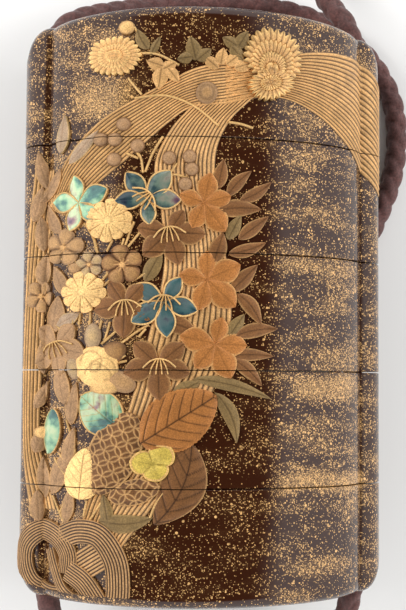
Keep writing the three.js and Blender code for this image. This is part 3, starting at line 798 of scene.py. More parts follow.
def braided_tube(name, line, cord):
    """A closed tube round a line of points, with the braid's lobes on its surface."""
    sides = 24
    tangents = np.gradient(line, axis=0)
    tangents /= np.linalg.norm(tangents, axis=1)[:, None]
    side = Vector(tangents[0]).orthogonal().normalized()
    turn = np.linspace(0, 2 * math.pi, sides, endpoint=False)
    reach = np.concatenate([[0], np.cumsum(np.linalg.norm(np.diff(line, axis=0), axis=1))])
    points = []
    for i, (point, tangent) in enumerate(zip(line, tangents)):
        ahead = Vector(tangent)
        side = (side - ahead * side.dot(ahead)).normalized()
        up = ahead.cross(side)
        radii = braid_radius(turn, np.full(sides, reach[i]), cord)
        for angle, radius in zip(turn, radii):
            points.append(
                Vector(point) + side * (radius * math.cos(angle)) + up * (radius * math.sin(angle))
            )
    rings = len(line)
    hubs = len(points)
    points += [Vector(line[0]), Vector(line[-1])]
    faces = []
    for r in range(rings - 1):
        for k in range(sides):
            a, b = r * sides + k, r * sides + (k + 1) % sides
            faces.append((a, b, b + sides, a + sides))
    last = (rings - 1) * sides
    for k in range(sides):
        after = (k + 1) % sides
        faces.append((hubs, after, k))
        faces.append((hubs + 1, last + k, last + after))
    mesh = bpy.data.meshes.new(name)
    mesh.from_pydata(points, [], faces)
    uv = mesh.uv_layers.new(name="UVMap")
    for polygon in mesh.polygons:
        for loop in polygon.loop_indices:
            vertex = mesh.loops[loop].vertex_index
            if vertex >= hubs:
                uv.data[loop].uv = (0.5, 0.0)
                continue
            r, k = divmod(vertex, sides)
            first = polygon.index % sides
            across = k if not (first == sides - 1 and k == 0) else sides
            uv.data[loop].uv = (across / sides, reach[r] / cord.lobe_length)
    piece = bpy.data.objects.new(name, mesh)
    bpy.context.scene.collection.objects.link(piece)
    shade_smooth(piece, 80)
    return piece


# How thick the knot's cord is in its room, and how flat the knot is drawn.
KNOT_FULLNESS = 0.36
KNOT_FLATNESS = 0.62


def knot(name, node):
    """A tight round stopper knot: one cord wound through itself, kept inside the node's box."""
    low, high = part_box(node)
    centre = (low + high) / 2
    room = (high.x - low.x) / 2
    tube = room * KNOT_FULLNESS
    reach = room - tube
    line = []
    steps = 90
    for i in range(steps):
        t = 2 * math.pi * i / steps
        x = (math.sin(t) + 2 * math.sin(2 * t)) / 3
        y = (math.cos(t) - 2 * math.cos(2 * t)) / 3
        z = -math.sin(3 * t)
        line.append(centre + Vector((x * reach, y * reach, z * reach * KNOT_FLATNESS)))
    bpy.ops.curve.primitive_bezier_circle_add()
    piece = bpy.context.object
    curve = piece.data
    curve.splines.clear()
    spline = curve.splines.new("POLY")
    spline.points.add(steps - 1)
    for point, place in zip(spline.points, line):
        point.co = (*place, 1)
    spline.use_cyclic_u = True
    curve.bevel_depth = tube
    curve.bevel_resolution = 4
    piece.location = (0, 0, 0)
    pick(piece)
    bpy.ops.object.convert(target="MESH")
    piece = bpy.context.object
    piece.name = name
    piece.data.name = name
    shade_smooth(piece, 80)
    return piece


def free_cord(name, points, nodes, cord, material):
    """One length of silk along a route, from its exit to its far end."""
    step = 0.42
    line, length = smooth_route(points, step)
    line, length = line * MM, length * MM
    piece = braided_tube(name, line, cord)
    dress(piece, material, "silk_cord", *nodes)
    return piece


class INRO_OT_cords(bpy.types.Operator):
    """Lay the braided silk cord: two free ends with their knots, and the loop under the case"""

    bl_idname = "inro.cords"
    bl_label = "Cord"

    def execute(self, context):
        cord = context.scene.inro_cord
        silk = silk_material(cord)
        for side in ("left", "right"):
            node = "knot_" + side
            dress(knot(node + "_form", node), silk, "silk_cord", node)
        free_cord(
            "cord_left", LEFT_STRAND, ["cord_left_strand"], cord, silk,
        )
        free_cord(
            "cord_right", [*RIGHT_STRAND, *coil_route()], ["cord_right_strand", "cord_coil"], cord, silk,
        )
        free_cord(
            "cord_bottom", BOTTOM_LOOP, ["cord_bottom_loop"], cord, silk,
        )
        for side in ("left", "right"):
            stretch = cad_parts[f"cord_in_{side}_runner"]
            give_material(stretch, silk)
        return {"FINISHED"}


# ---- Raised work: how a figure becomes a closed piece on the case ----------------------------------


def ease(value, low, high):
    """0 to 1 as the value goes from low to high."""
    share = np.clip((value - low) / (high - low), 0, 1)
    return share * share * (3 - 2 * share)


def blend(share, one, two):
    """Colours between two, by an array of shares; each may be one colour or one for each point."""
    share = np.asarray(share)[:, None]
    return np.asarray(one) * (1 - share) + np.asarray(two) * share


def slab(columns, rows):
    """A thin square block, finely divided on top and below, that figures are shaped from."""
    deselect_all()
    bpy.ops.mesh.primitive_grid_add(x_subdivisions=columns, y_subdivisions=rows, size=2)
    piece = bpy.context.object
    bpy.ops.object.mode_set(mode="EDIT")
    bpy.ops.mesh.select_all(action="SELECT")
    bpy.ops.mesh.extrude_region_move(TRANSFORM_OT_translate={"value": (0, 0, 1)})
    bpy.ops.mesh.select_all(action="SELECT")
    bpy.ops.mesh.normals_make_consistent(inside=False)
    bpy.ops.object.mode_set(mode="OBJECT")
    mesh = piece.data.copy()
    bpy.data.objects.remove(piece)
    return mesh


class Bench:
    """Where the figures of each kind of work are gathered, tier by tier, before they are joined.

    A figure is laid out flat, in millimetres, and then wrapped on the case: flat x is the length
    along the curve of the front from its middle.
    """

    EMBEDDED = 0.28
    MOST_STRETCH = 1.6

    def __init__(self, section):
        self.section = section
        self.side = 1
        self.slabs = {}
        self.gathered = {}
        self.spans = [tier_span(tier) for tier in range(len(TIERS))]

    def flat(self, x):
        """The flat x of what is seen at x."""
        return self.section.arc_at(np.asarray(x, float) * MM) / MM

    def kept_on_wall(self, u, v):
        """Draws what would run past the foot of the case back to the line where its rim starts to round."""
        body = self.section.body
        x = np.interp(u * MM, self.section.arc, self.section.line_x)
        fall = np.array([rim_fall(body, place, body.bottom_arch) for place in x])
        foot = (fall + body.rim_radius - body.end_line) / MM
        return np.where(v < foot, foot + (v - foot) * 0.01, v)

    def flat_path(self, path):
        points = np.array(path, float)
        return np.column_stack([self.flat(points[:, 0]), points[:, 1]])

    def set(self, work, form, columns, rows, x, y, turn=0.0, lift=0.0, **options):
        """Sets a figure at a place given as it is seen, and widens it where the front turns away."""
        stretch = min(float(self.flat(x + 0.5) - self.flat(x - 0.5)), self.MOST_STRETCH)
        self.lay(work, form, columns, rows, (float(self.flat(x)), y), turn, lift, stretch, **options)

    def lay(self, work, form, columns, rows, spot=(0.0, 0.0), turn=0.0, lift=0.0, stretch=1.0, **options):
        """Shapes one figure: form turns the slab's places into a plan, a rise and a colour."""
        if (columns, rows) not in self.slabs:
            self.slabs[columns, rows] = slab(columns, rows)
        mesh = self.slabs[columns, rows].copy()
        places = np.zeros(len(mesh.vertices) * 3, np.float32)
        mesh.vertices.foreach_get("co", places)
        a, b, top = places.reshape(-1, 3).astype(float).T
        across, up, rise, colour = form(a, b, **options)
        angle = math.radians(turn)
        u = spot[0] + stretch * (across * math.cos(angle) - up * math.sin(angle))
        v = self.kept_on_wall(u, spot[1] + across * math.sin(angle) + up * math.cos(angle))
        height = np.where(top > 0.5, lift + rise, -self.EMBEDDED) * MM
        points = self.section.wrap(u * MM, v * MM, height, self.side)
        mesh.vertices.foreach_set("co", points.astype(np.float32).ravel())
        # The colour stored on the points holds the forms' painted highlights and shade as well as their own
        # colours.
        tint = mesh.attributes.new("tint", "FLOAT_COLOR", "POINT")
        tint.data.foreach_set(
            "color", np.column_stack([colour, np.ones(len(a))]).astype(np.float32).ravel(),
        )
        self.share_out(mesh, work)

    def thread(self, work, path, width, colours, height=0.2, lift=0.0, step=0.45):
        """Lays a raised line along a path, in pieces about a step long."""
        route = self.flat_path(path)
        length = np.linalg.norm(np.diff(route, axis=0), axis=1).sum()
        pieces = max(int(length / step), 6)
        self.lay(
            work, thread, pieces, 2, lift=lift, path=route, width=width, colours=colours, height=height,
        )

    def comb(self, work, left, right, count, fill, colours, height):
        """Lays a stream of threads side by side between two edges."""
        edges = dict(left=self.flat_path(left), right=self.flat_path(right))
        length = np.linalg.norm(np.diff(edges["left"], axis=0), axis=1).sum()
        self.lay(work, combed, int(length / 0.5), 4 * count, **edges, count=count, fill=fill,
                 colours=colours, height=height)

    def wire_round(self, work, form, spot, turn, width, wire, lift, **options):
        """Lays a wire round the edge of a figure that is set at a flat place."""
        steps = np.linspace(-1, 1, 14, endpoint=False)
        one = np.ones_like(steps)
        a = np.concatenate([steps, one, -steps, -one, [-1]])
        b = np.concatenate([-one, steps, one, -steps, [-1]])
        across, up, _, _ = form(a, b, **options)
        angle = math.radians(turn)
        path = np.column_stack([
            spot[0] + across * math.cos(angle) - up * math.sin(angle),
            spot[1] + across * math.sin(angle) + up * math.cos(angle),
        ])
        gaps = np.linalg.norm(np.diff(path, axis=0), axis=1)
        path = path[np.concatenate([[True], gaps > 0.02])]
        length = np.linalg.norm(np.diff(path, axis=0), axis=1).sum()
        self.lay(work, thread, int(length / 0.35), 2, lift=lift, path=path, width=width, colours=wire[:2],
                 height=0.2)

    def share_out(self, mesh, work):
        """Cuts a figure at the joints between the tiers, and puts each part with its own tier."""
        heights = [vertex.co.y for vertex in mesh.vertices]
        for tier, (bottom, top) in enumerate(self.spans):
            if max(heights) <= bottom or min(heights) >= top:
                continue
            part = bmesh.new()
            part.from_mesh(mesh)
            for height, away in ((top, 1), (bottom, -1)):
                if away * (max(heights) if away > 0 else min(heights)) > away * height:
                    cut = bmesh.ops.bisect_plane(
                        part, geom=[*part.verts, *part.edges, *part.faces], plane_co=(0, height, 0),
                        plane_no=(0, away, 0), clear_outer=True, dist=1e-9,
                    )
                    rim = [item for item in cut["geom_cut"] if isinstance(item, bmesh.types.BMEdge)]
                    bmesh.ops.triangle_fill(part, edges=rim, use_beauty=True)
            if part.faces:
                bmesh.ops.recalc_face_normals(part, faces=part.faces)
                kept = bpy.data.meshes.new("part")
                part.to_mesh(kept)
                self.gathered.setdefault((tier, work), []).append(kept)
            part.free()
        bpy.data.meshes.remove(mesh)

    def finish(self, work, material, slot):
        """Joins what was gathered into one piece for each tier."""
        for tier, node in enumerate(TIERS):
            meshes = self.gathered.get((tier, work))
            if not meshes:
                continue
            pieces = []
            for mesh in meshes:
                piece = bpy.data.objects.new("part", mesh)
                bpy.context.scene.collection.objects.link(piece)
                pieces.append(piece)
            joined = join(pieces, f"{node}_{work}_work")
            shade_smooth(joined, 42)
            dress(joined, material, slot)


# ---- Raised work: the kinds of figures ------------------------------------------------------------
# Each takes the places a, b (-1 to 1) on a grid and gives the plan and the rise in millimetres, and
# the colour. What is round is laid out by its radius share and its angle.


def disc(a, b):
    """The square grid's places as those of a disc: share of the radius, and angle."""
    wide = np.abs(a) >= np.abs(b)
    main, other = np.where(wide, a, b), np.where(wide, b, a)
    turn = math.pi / 4 * other / np.where(main == 0, 1, main)
    angle = np.where(wide, turn, math.pi / 2 - turn) + np.where(main < 0, math.pi, 0)
    return np.abs(main), angle


def petal_place(angle, petals, turn):
    """-1 to 1 across each petal, 0 on its middle line, and the petal's number."""
    share = (angle - math.radians(turn)) * petals / (2 * math.pi)
    number = np.round(share)
    return (share - number) * 2, np.mod(number, petals)


def star(a, b, r, colours, petals=5, first=90, valley=0.36, point=0.62, dome=0.3, rim=0.86, squash=1.0,
         vein=0.1, uneven=0.06):
    """A flower of pointed petals with a fine wire rim round each and a vein down its middle."""
    base, edge_colour, heart = colours
    share, angle = disc(a, b)
    across, number = petal_place(angle, petals, first)
    tilt = 1 + uneven * np.sin(number * 2.4 + first)
    edge = r * (valley + (tilt - valley) * (1 - np.abs(across)) ** point)
    body = dome * (1 - across ** 2) * ease(share, 0.05, 0.5) * (1 - 0.5 * ease(share, 0.6, 1))
    wire = ease(share, rim, rim + 0.06) * (1 - ease(share, 0.97, 1.0))
    groove = np.exp(-(across / vein) ** 2) * ease(share, 0.12, 0.2) * (1 - ease(share, 0.72, 0.82))
    between = np.exp(-((1 - np.abs(across)) / 0.12) ** 2) * ease(share, 0.1, 0.3)
    rise = body + 0.09 * wire - 0.05 * groove - 0.1 * between
    # Painted highlight: a lighter copy of the ground along each petal's middle, where it stands highest,
    # growing towards its tip.
    colour = blend(0.45 * ease(share, 0.0, 0.8) * (1 - 0.4 * across ** 2), base, np.asarray(base) * 1.18)
    # Painted shade: a darker copy of the ground in the valleys between the petals and in the sunk vein.
    colour = blend(0.55 * between + 0.3 * groove, colour, np.asarray(base) * 0.45)
    colour = blend(wire * 0.95, colour, edge_colour)
    colour = blend(1 - ease(share, 0.08, 0.15), colour, heart)
    return edge * share * np.cos(angle), squash * edge * share * np.sin(angle), rise, colour


def plum(a, b, r, colours, petals=5, first=90, dome=0.42, valley=0.66, squash=1.0):
    """A blossom of round, cupped petals with a heart of stamens."""
    base, edge_colour, heart = colours
    share, angle = disc(a, b)
    across, _ = petal_place(angle, petals, first)
    edge = r * (valley + (1 - valley) * np.sqrt(np.clip(1 - across ** 2, 0, 1)))
    off = np.hypot((share - 0.62) / 0.42, across)
    body = dome * np.clip(1 - off ** 2 * 0.8, 0, 1) ** 0.6
    between = np.exp(-((1 - np.abs(across)) / 0.16) ** 2) * ease(share, 0.15, 0.3)
    button = 1 - ease(share, 0.13, 0.2)
    rays = (np.cos(angle * 10) > 0.3) * (share > 0.15) * (1 - ease(share, 0.34, 0.42))
    rise = body * (1 - 0.75 * between) + 0.3 * button + 0.07 * rays
    # Painted highlight: the ground turns to the rim colour where each petal stands highest.
    ground = blend(ease(body / dome, 0.3, 1) * 0.6, base, edge_colour)
    # Painted shade: a darker copy of the ground in the valleys between the petals.
    colour = blend(0.8 * between, ground, np.asarray(base) * 0.45)
    colour = blend(np.clip(button + rays * 0.7, 0, 1), colour, heart)
    return edge * share * np.cos(angle), squash * edge * share * np.sin(angle), rise, colour


def chrysanthemum(
    a, b, r, colours, petals=22, notch=0.13, dome=0.5, squash=1.0, tiers=3, eye=(0, 0), ring=0.1,
):
    """A full head of narrow petals in rings round an eye, which may lie off its middle."""
    base, pale, dark = colours
    share, angle = disc(a, b)
    across, number = petal_place(angle, petals, 0)
    edge = r * (1 - notch * np.abs(across) ** 1.5 + 0.03 * np.sin(number * 5.1))
    u = edge * share * np.cos(angle) + eye[0] * (1 - share)
    v = squash * edge * share * np.sin(angle) + eye[1] * (1 - share)
    turn = 0.5 * petals * angle / math.pi
    level = share * tiers
    row = np.minimum(np.floor(level), tiers - 1)
    inside = level - row
    middle = np.abs(np.mod(turn + 0.5 * row, 1) - 0.5) * 2
    ridge = np.sqrt(np.clip(middle, 0, 1))
    step = ease(inside, 0.0, 0.12) * (1 - 0.25 * inside)
    rise = dome * (1 - 0.55 * share ** 2) * (0.55 + 0.2 * ridge + 0.25 * step)
    gap = 1 - ease(middle, 0.1, 0.42)
    colour = blend(0.6 * ease(inside, 0.3, 1.0), base, pale)
    colour = blend(np.clip(0.62 * gap * ease(share, 0.12, 0.3), 0, 1), colour, dark)
    hub = np.exp(-((share - ring) / 0.03) ** 2)
    colour = blend(0.6 * hub, colour, dark)
    return u, v, rise, colour


def lacy_head(a, b, r, colours, lobes=10, dome=0.5, squash=1.0):
    """A head of round lobes, pierced with fine radiating lines and dots."""
    base, pale, dark = colours
    share, angle = disc(a, b)
    across, number = petal_place(angle, lobes, 11)
    edge = r * (0.84 + 0.16 * np.sqrt(np.clip(1 - across ** 2, 0, 1)) + 0.04 * np.sin(number * 3.7))
    seam_line = np.exp(-((1 - np.abs(across)) / 0.13) ** 2) * ease(share, 0.2, 0.4)
    vein = np.exp(-(across / 0.12) ** 2) * ease(share, 0.12, 0.2) * (1 - ease(share, 0.7, 0.78))
    dots = (np.abs(np.abs(across) - 0.5) < 0.16) * (np.abs(share - 0.74) < 0.05)
    ringed = np.exp(-((share - 0.2) / 0.035) ** 2)
    rise = dome * (1 - 0.6 * share ** 2) - 0.12 * seam_line - 0.07 * vein - 0.08 * dots - 0.06 * ringed
    marks = np.clip(0.8 * seam_line + 0.55 * vein + 0.75 * dots + 0.5 * ringed, 0, 1)
    # Painted highlight: pale in the middle, where the head stands highest, giving way to the ground towards
    # the edge; the dark marks are the pierced lines and dots.
    colour = blend(0.7 * marks, blend(0.5 * share, pale, base), dark)
    return edge * share * np.cos(angle), squash * edge * share * np.sin(angle), rise, colour


def round_blossom(a, b, r, colours, dome=0.6, squash=1.0):
    """A full round blossom seen from the side, its petals lapped over one another."""
    base, pale, dark = colours
    share, angle = disc(a, b)
    across, _ = petal_place(angle, 5, 40)
    edge = r * (0.93 + 0.07 * np.sqrt(np.clip(1 - across ** 2, 0, 1)))
    x, y = share * np.cos(angle), share * np.sin(angle)
    lines = np.zeros_like(x)
    for cx, cy, reach in ((-0.2, 0.25, 0.5), (0.35, -0.15, 0.55), (0.1, -0.5, 0.6), (0.02, 0.0, 0.26)):
        ring = np.exp(-((np.hypot(x - cx, y - cy) - reach) / 0.035) ** 2)
        lines = np.maximum(lines, ring * (y + x > cy + cx - 0.5))
    rise = dome * (1 - 0.75 * share ** 2) - 0.1 * lines
    # Painted highlight: pale in the middle, where the blossom stands highest, giving way to the ground
    # towards the edge; the dark lines are the petals' edges.
    colour = blend(0.65 * lines, blend(share * 0.5, pale, base), dark)
    return edge * x, squash * edge * y, rise, colour


def bead(a, b, r, colours, dome=0.55, squash=1.0, eye=0.0):
    """A berry, bud or medallion; eye is the size of the ring round its middle."""
    base, pale, dark = colours
    share, angle = disc(a, b)
    rise = dome * np.sqrt(np.clip(1 - 0.92 * share ** 2, 0, 1))
    # Painted highlight in the middle, where the bead stands highest, and painted shade darkening it towards
    # its edge.
    colour = blend(0.7 * (1 - share) ** 0.7, blend(ease(share, 0.6, 1) * 0.5, base, dark), pale)
    if eye:
        rise = rise - 0.1 * np.exp(-((share - eye) / 0.08) ** 2)
        colour = blend(0.7 * np.exp(-((share - eye) / 0.1) ** 2), colour, dark)
    return r * share * np.cos(angle), squash * r * share * np.sin(angle), rise, colour


def blade_width(a, wide, full_at, blunt=1.0):
    """Half the width of a leaf along its length, which is fullest at a share of it."""
    share = np.clip((a + 1) / 2, 1e-4, 1)
    swell = np.maximum(np.sin(math.pi * share ** (math.log(0.5) / math.log(full_at))), 0)
    return 0.5 * wide * swell ** blunt + 0.03


def blade(
    a, b, long, wide, colours, bend=0.0, full_at=0.42, dome=0.26, rim=0.8, tip=0.0, pairs=0, blunt=0.85,
):
    """A narrow leaf: a wire rim, a sunk midrib and, with pairs, side veins; tip curls its end up."""
    base, edge_colour, dark = colours
    half = blade_width(a, wide, full_at, blunt)
    rise = dome * (1 - 0.8 * b ** 2) + tip * ease(a, 0.55, 1.0)
    rib = np.exp(-(b * half / 0.09) ** 2) * (1 - ease(np.abs(a), 0.8, 0.98))
    wire = ease(np.abs(b), rim, rim + 0.1)
    # Painted highlight: a lighter copy of the ground along the middle, where the leaf stands highest, and
    # towards the tip.
    colour = blend(0.35 * (1 - np.abs(b)) + 0.25 * ease(a, -1, 1), base, np.asarray(base) * 1.25)
    if pairs:
        lines = np.cos((a * long / 2 - np.abs(b) * half * 0.9) * 2 * math.pi * pairs / long)
        veins = ease(lines, 0.72, 0.98) * (1 - ease(np.abs(b), 0.75, 0.9))
        rise = rise - 0.05 * veins
        colour = blend(0.5 * veins, colour, dark)
    colour = blend(0.6 * rib, colour, dark)
    colour = blend(0.85 * wire, colour, edge_colour)
    rise = rise - 0.06 * rib + 0.05 * wire
    return long / 2 * a, bend * (1 - a ** 2) + b * half, rise, colour


def broad_leaf(a, b, long, wide, colours, full_at=0.45, dome=0.5, teeth=0, pairs=6, bend=0.0, sweep=0.75,
               line=0.13, blunt=0.62, rim=0.93):
    """A broad leaf with incised or inlaid veins that sweep forward, and a toothed edge if asked."""
    base, edge_colour, vein_colour = colours
    half = blade_width(a, wide, full_at, blunt)
    if teeth:
        half = half * (1 + 0.05 * (np.mod(a * teeth / 2, 1) - 0.5) * ease(np.abs(b), 0.5, 1))
    along, across = a * long / 2, b * half
    rib = np.exp(-(across / line) ** 2) * (1 - ease(a, 0.85, 0.98))
    pitch = long / (pairs + 0.5)
    slant = along - np.abs(across) * sweep - 0.09 * across ** 2
    place = np.abs(np.mod(slant / pitch, 1) - 0.5) * 2
    veins = ease(place, 1 - 1.6 * line / pitch * 2, 1.0) * (1 - ease(np.abs(b), 0.86, 0.97))
    fold = np.abs(b) * 0.16
    marks = np.clip(np.maximum(rib, veins), 0, 1)
    rise = dome * (1 - 0.75 * np.abs(b) ** 2.4) * (1 - 0.3 * a ** 2) - fold * (1 - np.abs(b)) - 0.08 * marks
    # Painted light and shade: a lighter copy of the ground on one side of each strip between the veins, the
    # plain ground on the other.
    colour = blend(0.3 * ease(np.sin(slant * 2 * math.pi / pitch), -1, 1), base, np.asarray(base) * 1.15)
    colour = blend(ease(np.abs(b), rim, rim + 0.05), colour, edge_colour)
    colour = blend(0.9 * marks, colour, vein_colour)
    return along, bend * (1 - a ** 2) + across, rise, colour


def lattice_lobe(a, b, long, wide, colours, cell=1.15, full_at=0.5, dome=0.55, line=0.09):
    """A full lobe covered with interlaced rings, the old pattern of linked circles."""
    base, wire_colour, dark = colours
    half = blade_width(a, wide, full_at, 0.5)
    along, across = a * long / 2, b * half
    rings = np.zeros_like(a)
    for i in range(-8, 9):
        for j in range(-8, 9):
            if (i + j) % 2 == 0:
                far = np.hypot(along - i * cell, across - j * cell)
                rings = np.maximum(rings, np.exp(-((far - cell) / line) ** 2))
    rim = ease(np.abs(b), 0.9, 0.95)
    wires = np.maximum(rings * (1 - rim), rim)
    rise = dome * (1 - 0.8 * b ** 2) * (1 - 0.4 * a ** 4) + 0.08 * wires
    # Painted shade: the ground darkens towards the lobe's edges, where its dome falls away.
    colour = blend(0.5 * ease(np.abs(b), 0.3, 1), base, dark)
    return along, across, rise, blend(0.85 * wires, colour, wire_colour)


def spline_through(points, share):
    """Places at shares (0 to 1) along the smooth curve through 2-D points."""
    line, _ = smooth_route([(x, y, 0) for x, y in points], 0.05)
    reach = np.concatenate([[0], np.cumsum(np.linalg.norm(np.diff(line, axis=0), axis=1))])
    at = np.clip(share, 0, 1) * reach[-1]
    x, y = np.interp(at, reach, line[:, 0]), np.interp(at, reach, line[:, 1])
    return np.stack([x, y], 1)


def thread(a, b, path, width, colours, height=0.16):
    """A raised line along a path, in the flat of the front."""
    base, pale = colours
    share = (a + 1) / 2
    spot = spline_through(path, share)
    ahead, behind = spline_through(path, share + 0.01), spline_through(path, share - 0.01)
    way = ahead - behind
    way /= np.linalg.norm(way, axis=1)[:, None]
    half = width / 2
    u, v = spot[:, 0] - way[:, 1] * b * half, spot[:, 1] + way[:, 0] * b * half
    crest = 1 - np.abs(b)
    # Painted highlight: the pale colour along the line's crest.
    return u, v, height * (0.45 + 0.55 * crest), blend(crest, base, pale)


def combed(a, b, left, right, count, fill, colours, height):
    """Fine gold threads side by side between two edges, with the dark ground in the grooves."""
    base, pale, dark = colours
    share, across = (a + 1) / 2, (b + 1) / 2
    one, two = spline_through(left, share), spline_through(right, share)
    place = one + (two - one) * across[:, None]
    line = across * count
    crest = 0.5 - 0.5 * np.cos(2 * math.pi * line)
    shade = 1 + 0.1 * np.sin(np.floor(line - 0.01) * 2.4 + share * 5)
    # Painted highlight: the pale colour on each thread's crest; the tone of each thread also varies at
    # random.
    colour = blend(ease(crest, 0.4, 1.0), base, pale) * shade[:, None]
    colour = blend(1 - ease(crest, 0.0, 1.2 - fill), colour, dark)
    return place[:, 0], place[:, 1], height * (0.25 + 0.75 * crest), colour


def rope(a, b, path, width, colours, height=0.5, lines=8):
    """A flat rope of parallel cords, for the knot: fine ridges along a cushioned band."""
    base, pale, dark = colours
    share = (a + 1) / 2
    spot = spline_through(path, share)
    way = spline_through(path, share + 0.01) - spline_through(path, share - 0.01)
    way /= np.linalg.norm(way, axis=1)[:, None]
    ridge = 0.5 + 0.5 * np.cos(b * math.pi * lines)
    u, v = spot[:, 0] - way[:, 1] * b * width / 2, spot[:, 1] + way[:, 0] * b * width / 2
    rise = height * (1 - 0.45 * b ** 2) + 0.09 * ridge
    colour = blend(ease(ridge, 0.1, 0.45), dark, base)
    # Painted highlight: the pale colour on the crests of the cords.
    colour = blend(0.75 * ease(ridge, 0.55, 0.95), colour, pale)
    return u, v, rise, colour


def hatched_patch(a, b, long, wide, colours, lines=7, height=0.3):
    """A small square of slanting threads inside the knot."""
    base, pale, dark = colours
    ridge = 0.5 + 0.5 * np.cos(b * math.pi * lines)
    # Painted highlight: the pale colour on the crests of the threads.
    colour = blend(0.8 * ease(ridge, 0.45, 0.9), blend(ease(ridge, 0.1, 0.4), dark, base), pale)
    return long / 2 * a, wide / 2 * b, height + 0.1 * ridge, colour


# ---- The design ----------------------------------------------------------------------------------
# A spray of blossoms, leaves and berries over combed gold streams that end in a great knot.
# Places and sizes are in millimetres as seen on the front, x across and y towards the lid.

# Each stream: its two edges, how many threads run between them, and how full of gold it is.
STREAMS = {
    "arch_right": (
        [(1.5, 34.2), (6.0, 35.6), (10.5, 36.6), (14.6, 37.6), (19.5, 38.2), (24.0, 37.8), (27.4, 34.5)],
        [(1.7, 28.8), (6.4, 30.0), (10.5, 30.1), (15.3, 28.4), (20.4, 24.8), (24.0, 20.7), (27.2, 17.6)],
        19, 0.95,
    ),
    "arch_left": (
        [(5.5, 35.4), (-2.2, 34.3), (-7.1, 31.9), (-10.6, 30.0), (-16.4, 26.6), (-21.5, 20.8),
         (-23.6, 14.4)],
        [(6.2, 30.0), (1.7, 28.9), (-3.6, 28.1), (-6.6, 26.0), (-12.2, 21.0), (-18.1, 15.8), (-20.5, 12.5)],
        14, 0.85,
    ),
    "middle": (
        [(-3.0, 28.9), (-6.4, 25.0), (-8.6, 20.0), (-7.8, 14.1), (-7.2, 5), (-8.9, -3.2), (-10.9, -11.5),
         (-13.6, -20), (-17.2, -27.5), (-18.6, -32.5)],
        [(5.6, 29.9), (2.3, 26.5), (0.3, 22), (0.4, 15.8), (1.6, 8), (2.6, 0), (2.2, -6), (-0.4, -13.5),
         (-6.4, -26.0), (-12.6, -34.8)],
        14, 0.62,
    ),
    "edge": (
        [(-25.9, 20), (-26.6, 12), (-27.0, 2), (-27.2, -10), (-27.0, -22), (-26, -30)],
        [(-22.9, 20), (-23.3, 12), (-23.9, 2), (-24.4, -10), (-24.2, -22), (-22, -30)],
        6, 0.9,
    ),
}
STREAM_HEIGHT = 0.2

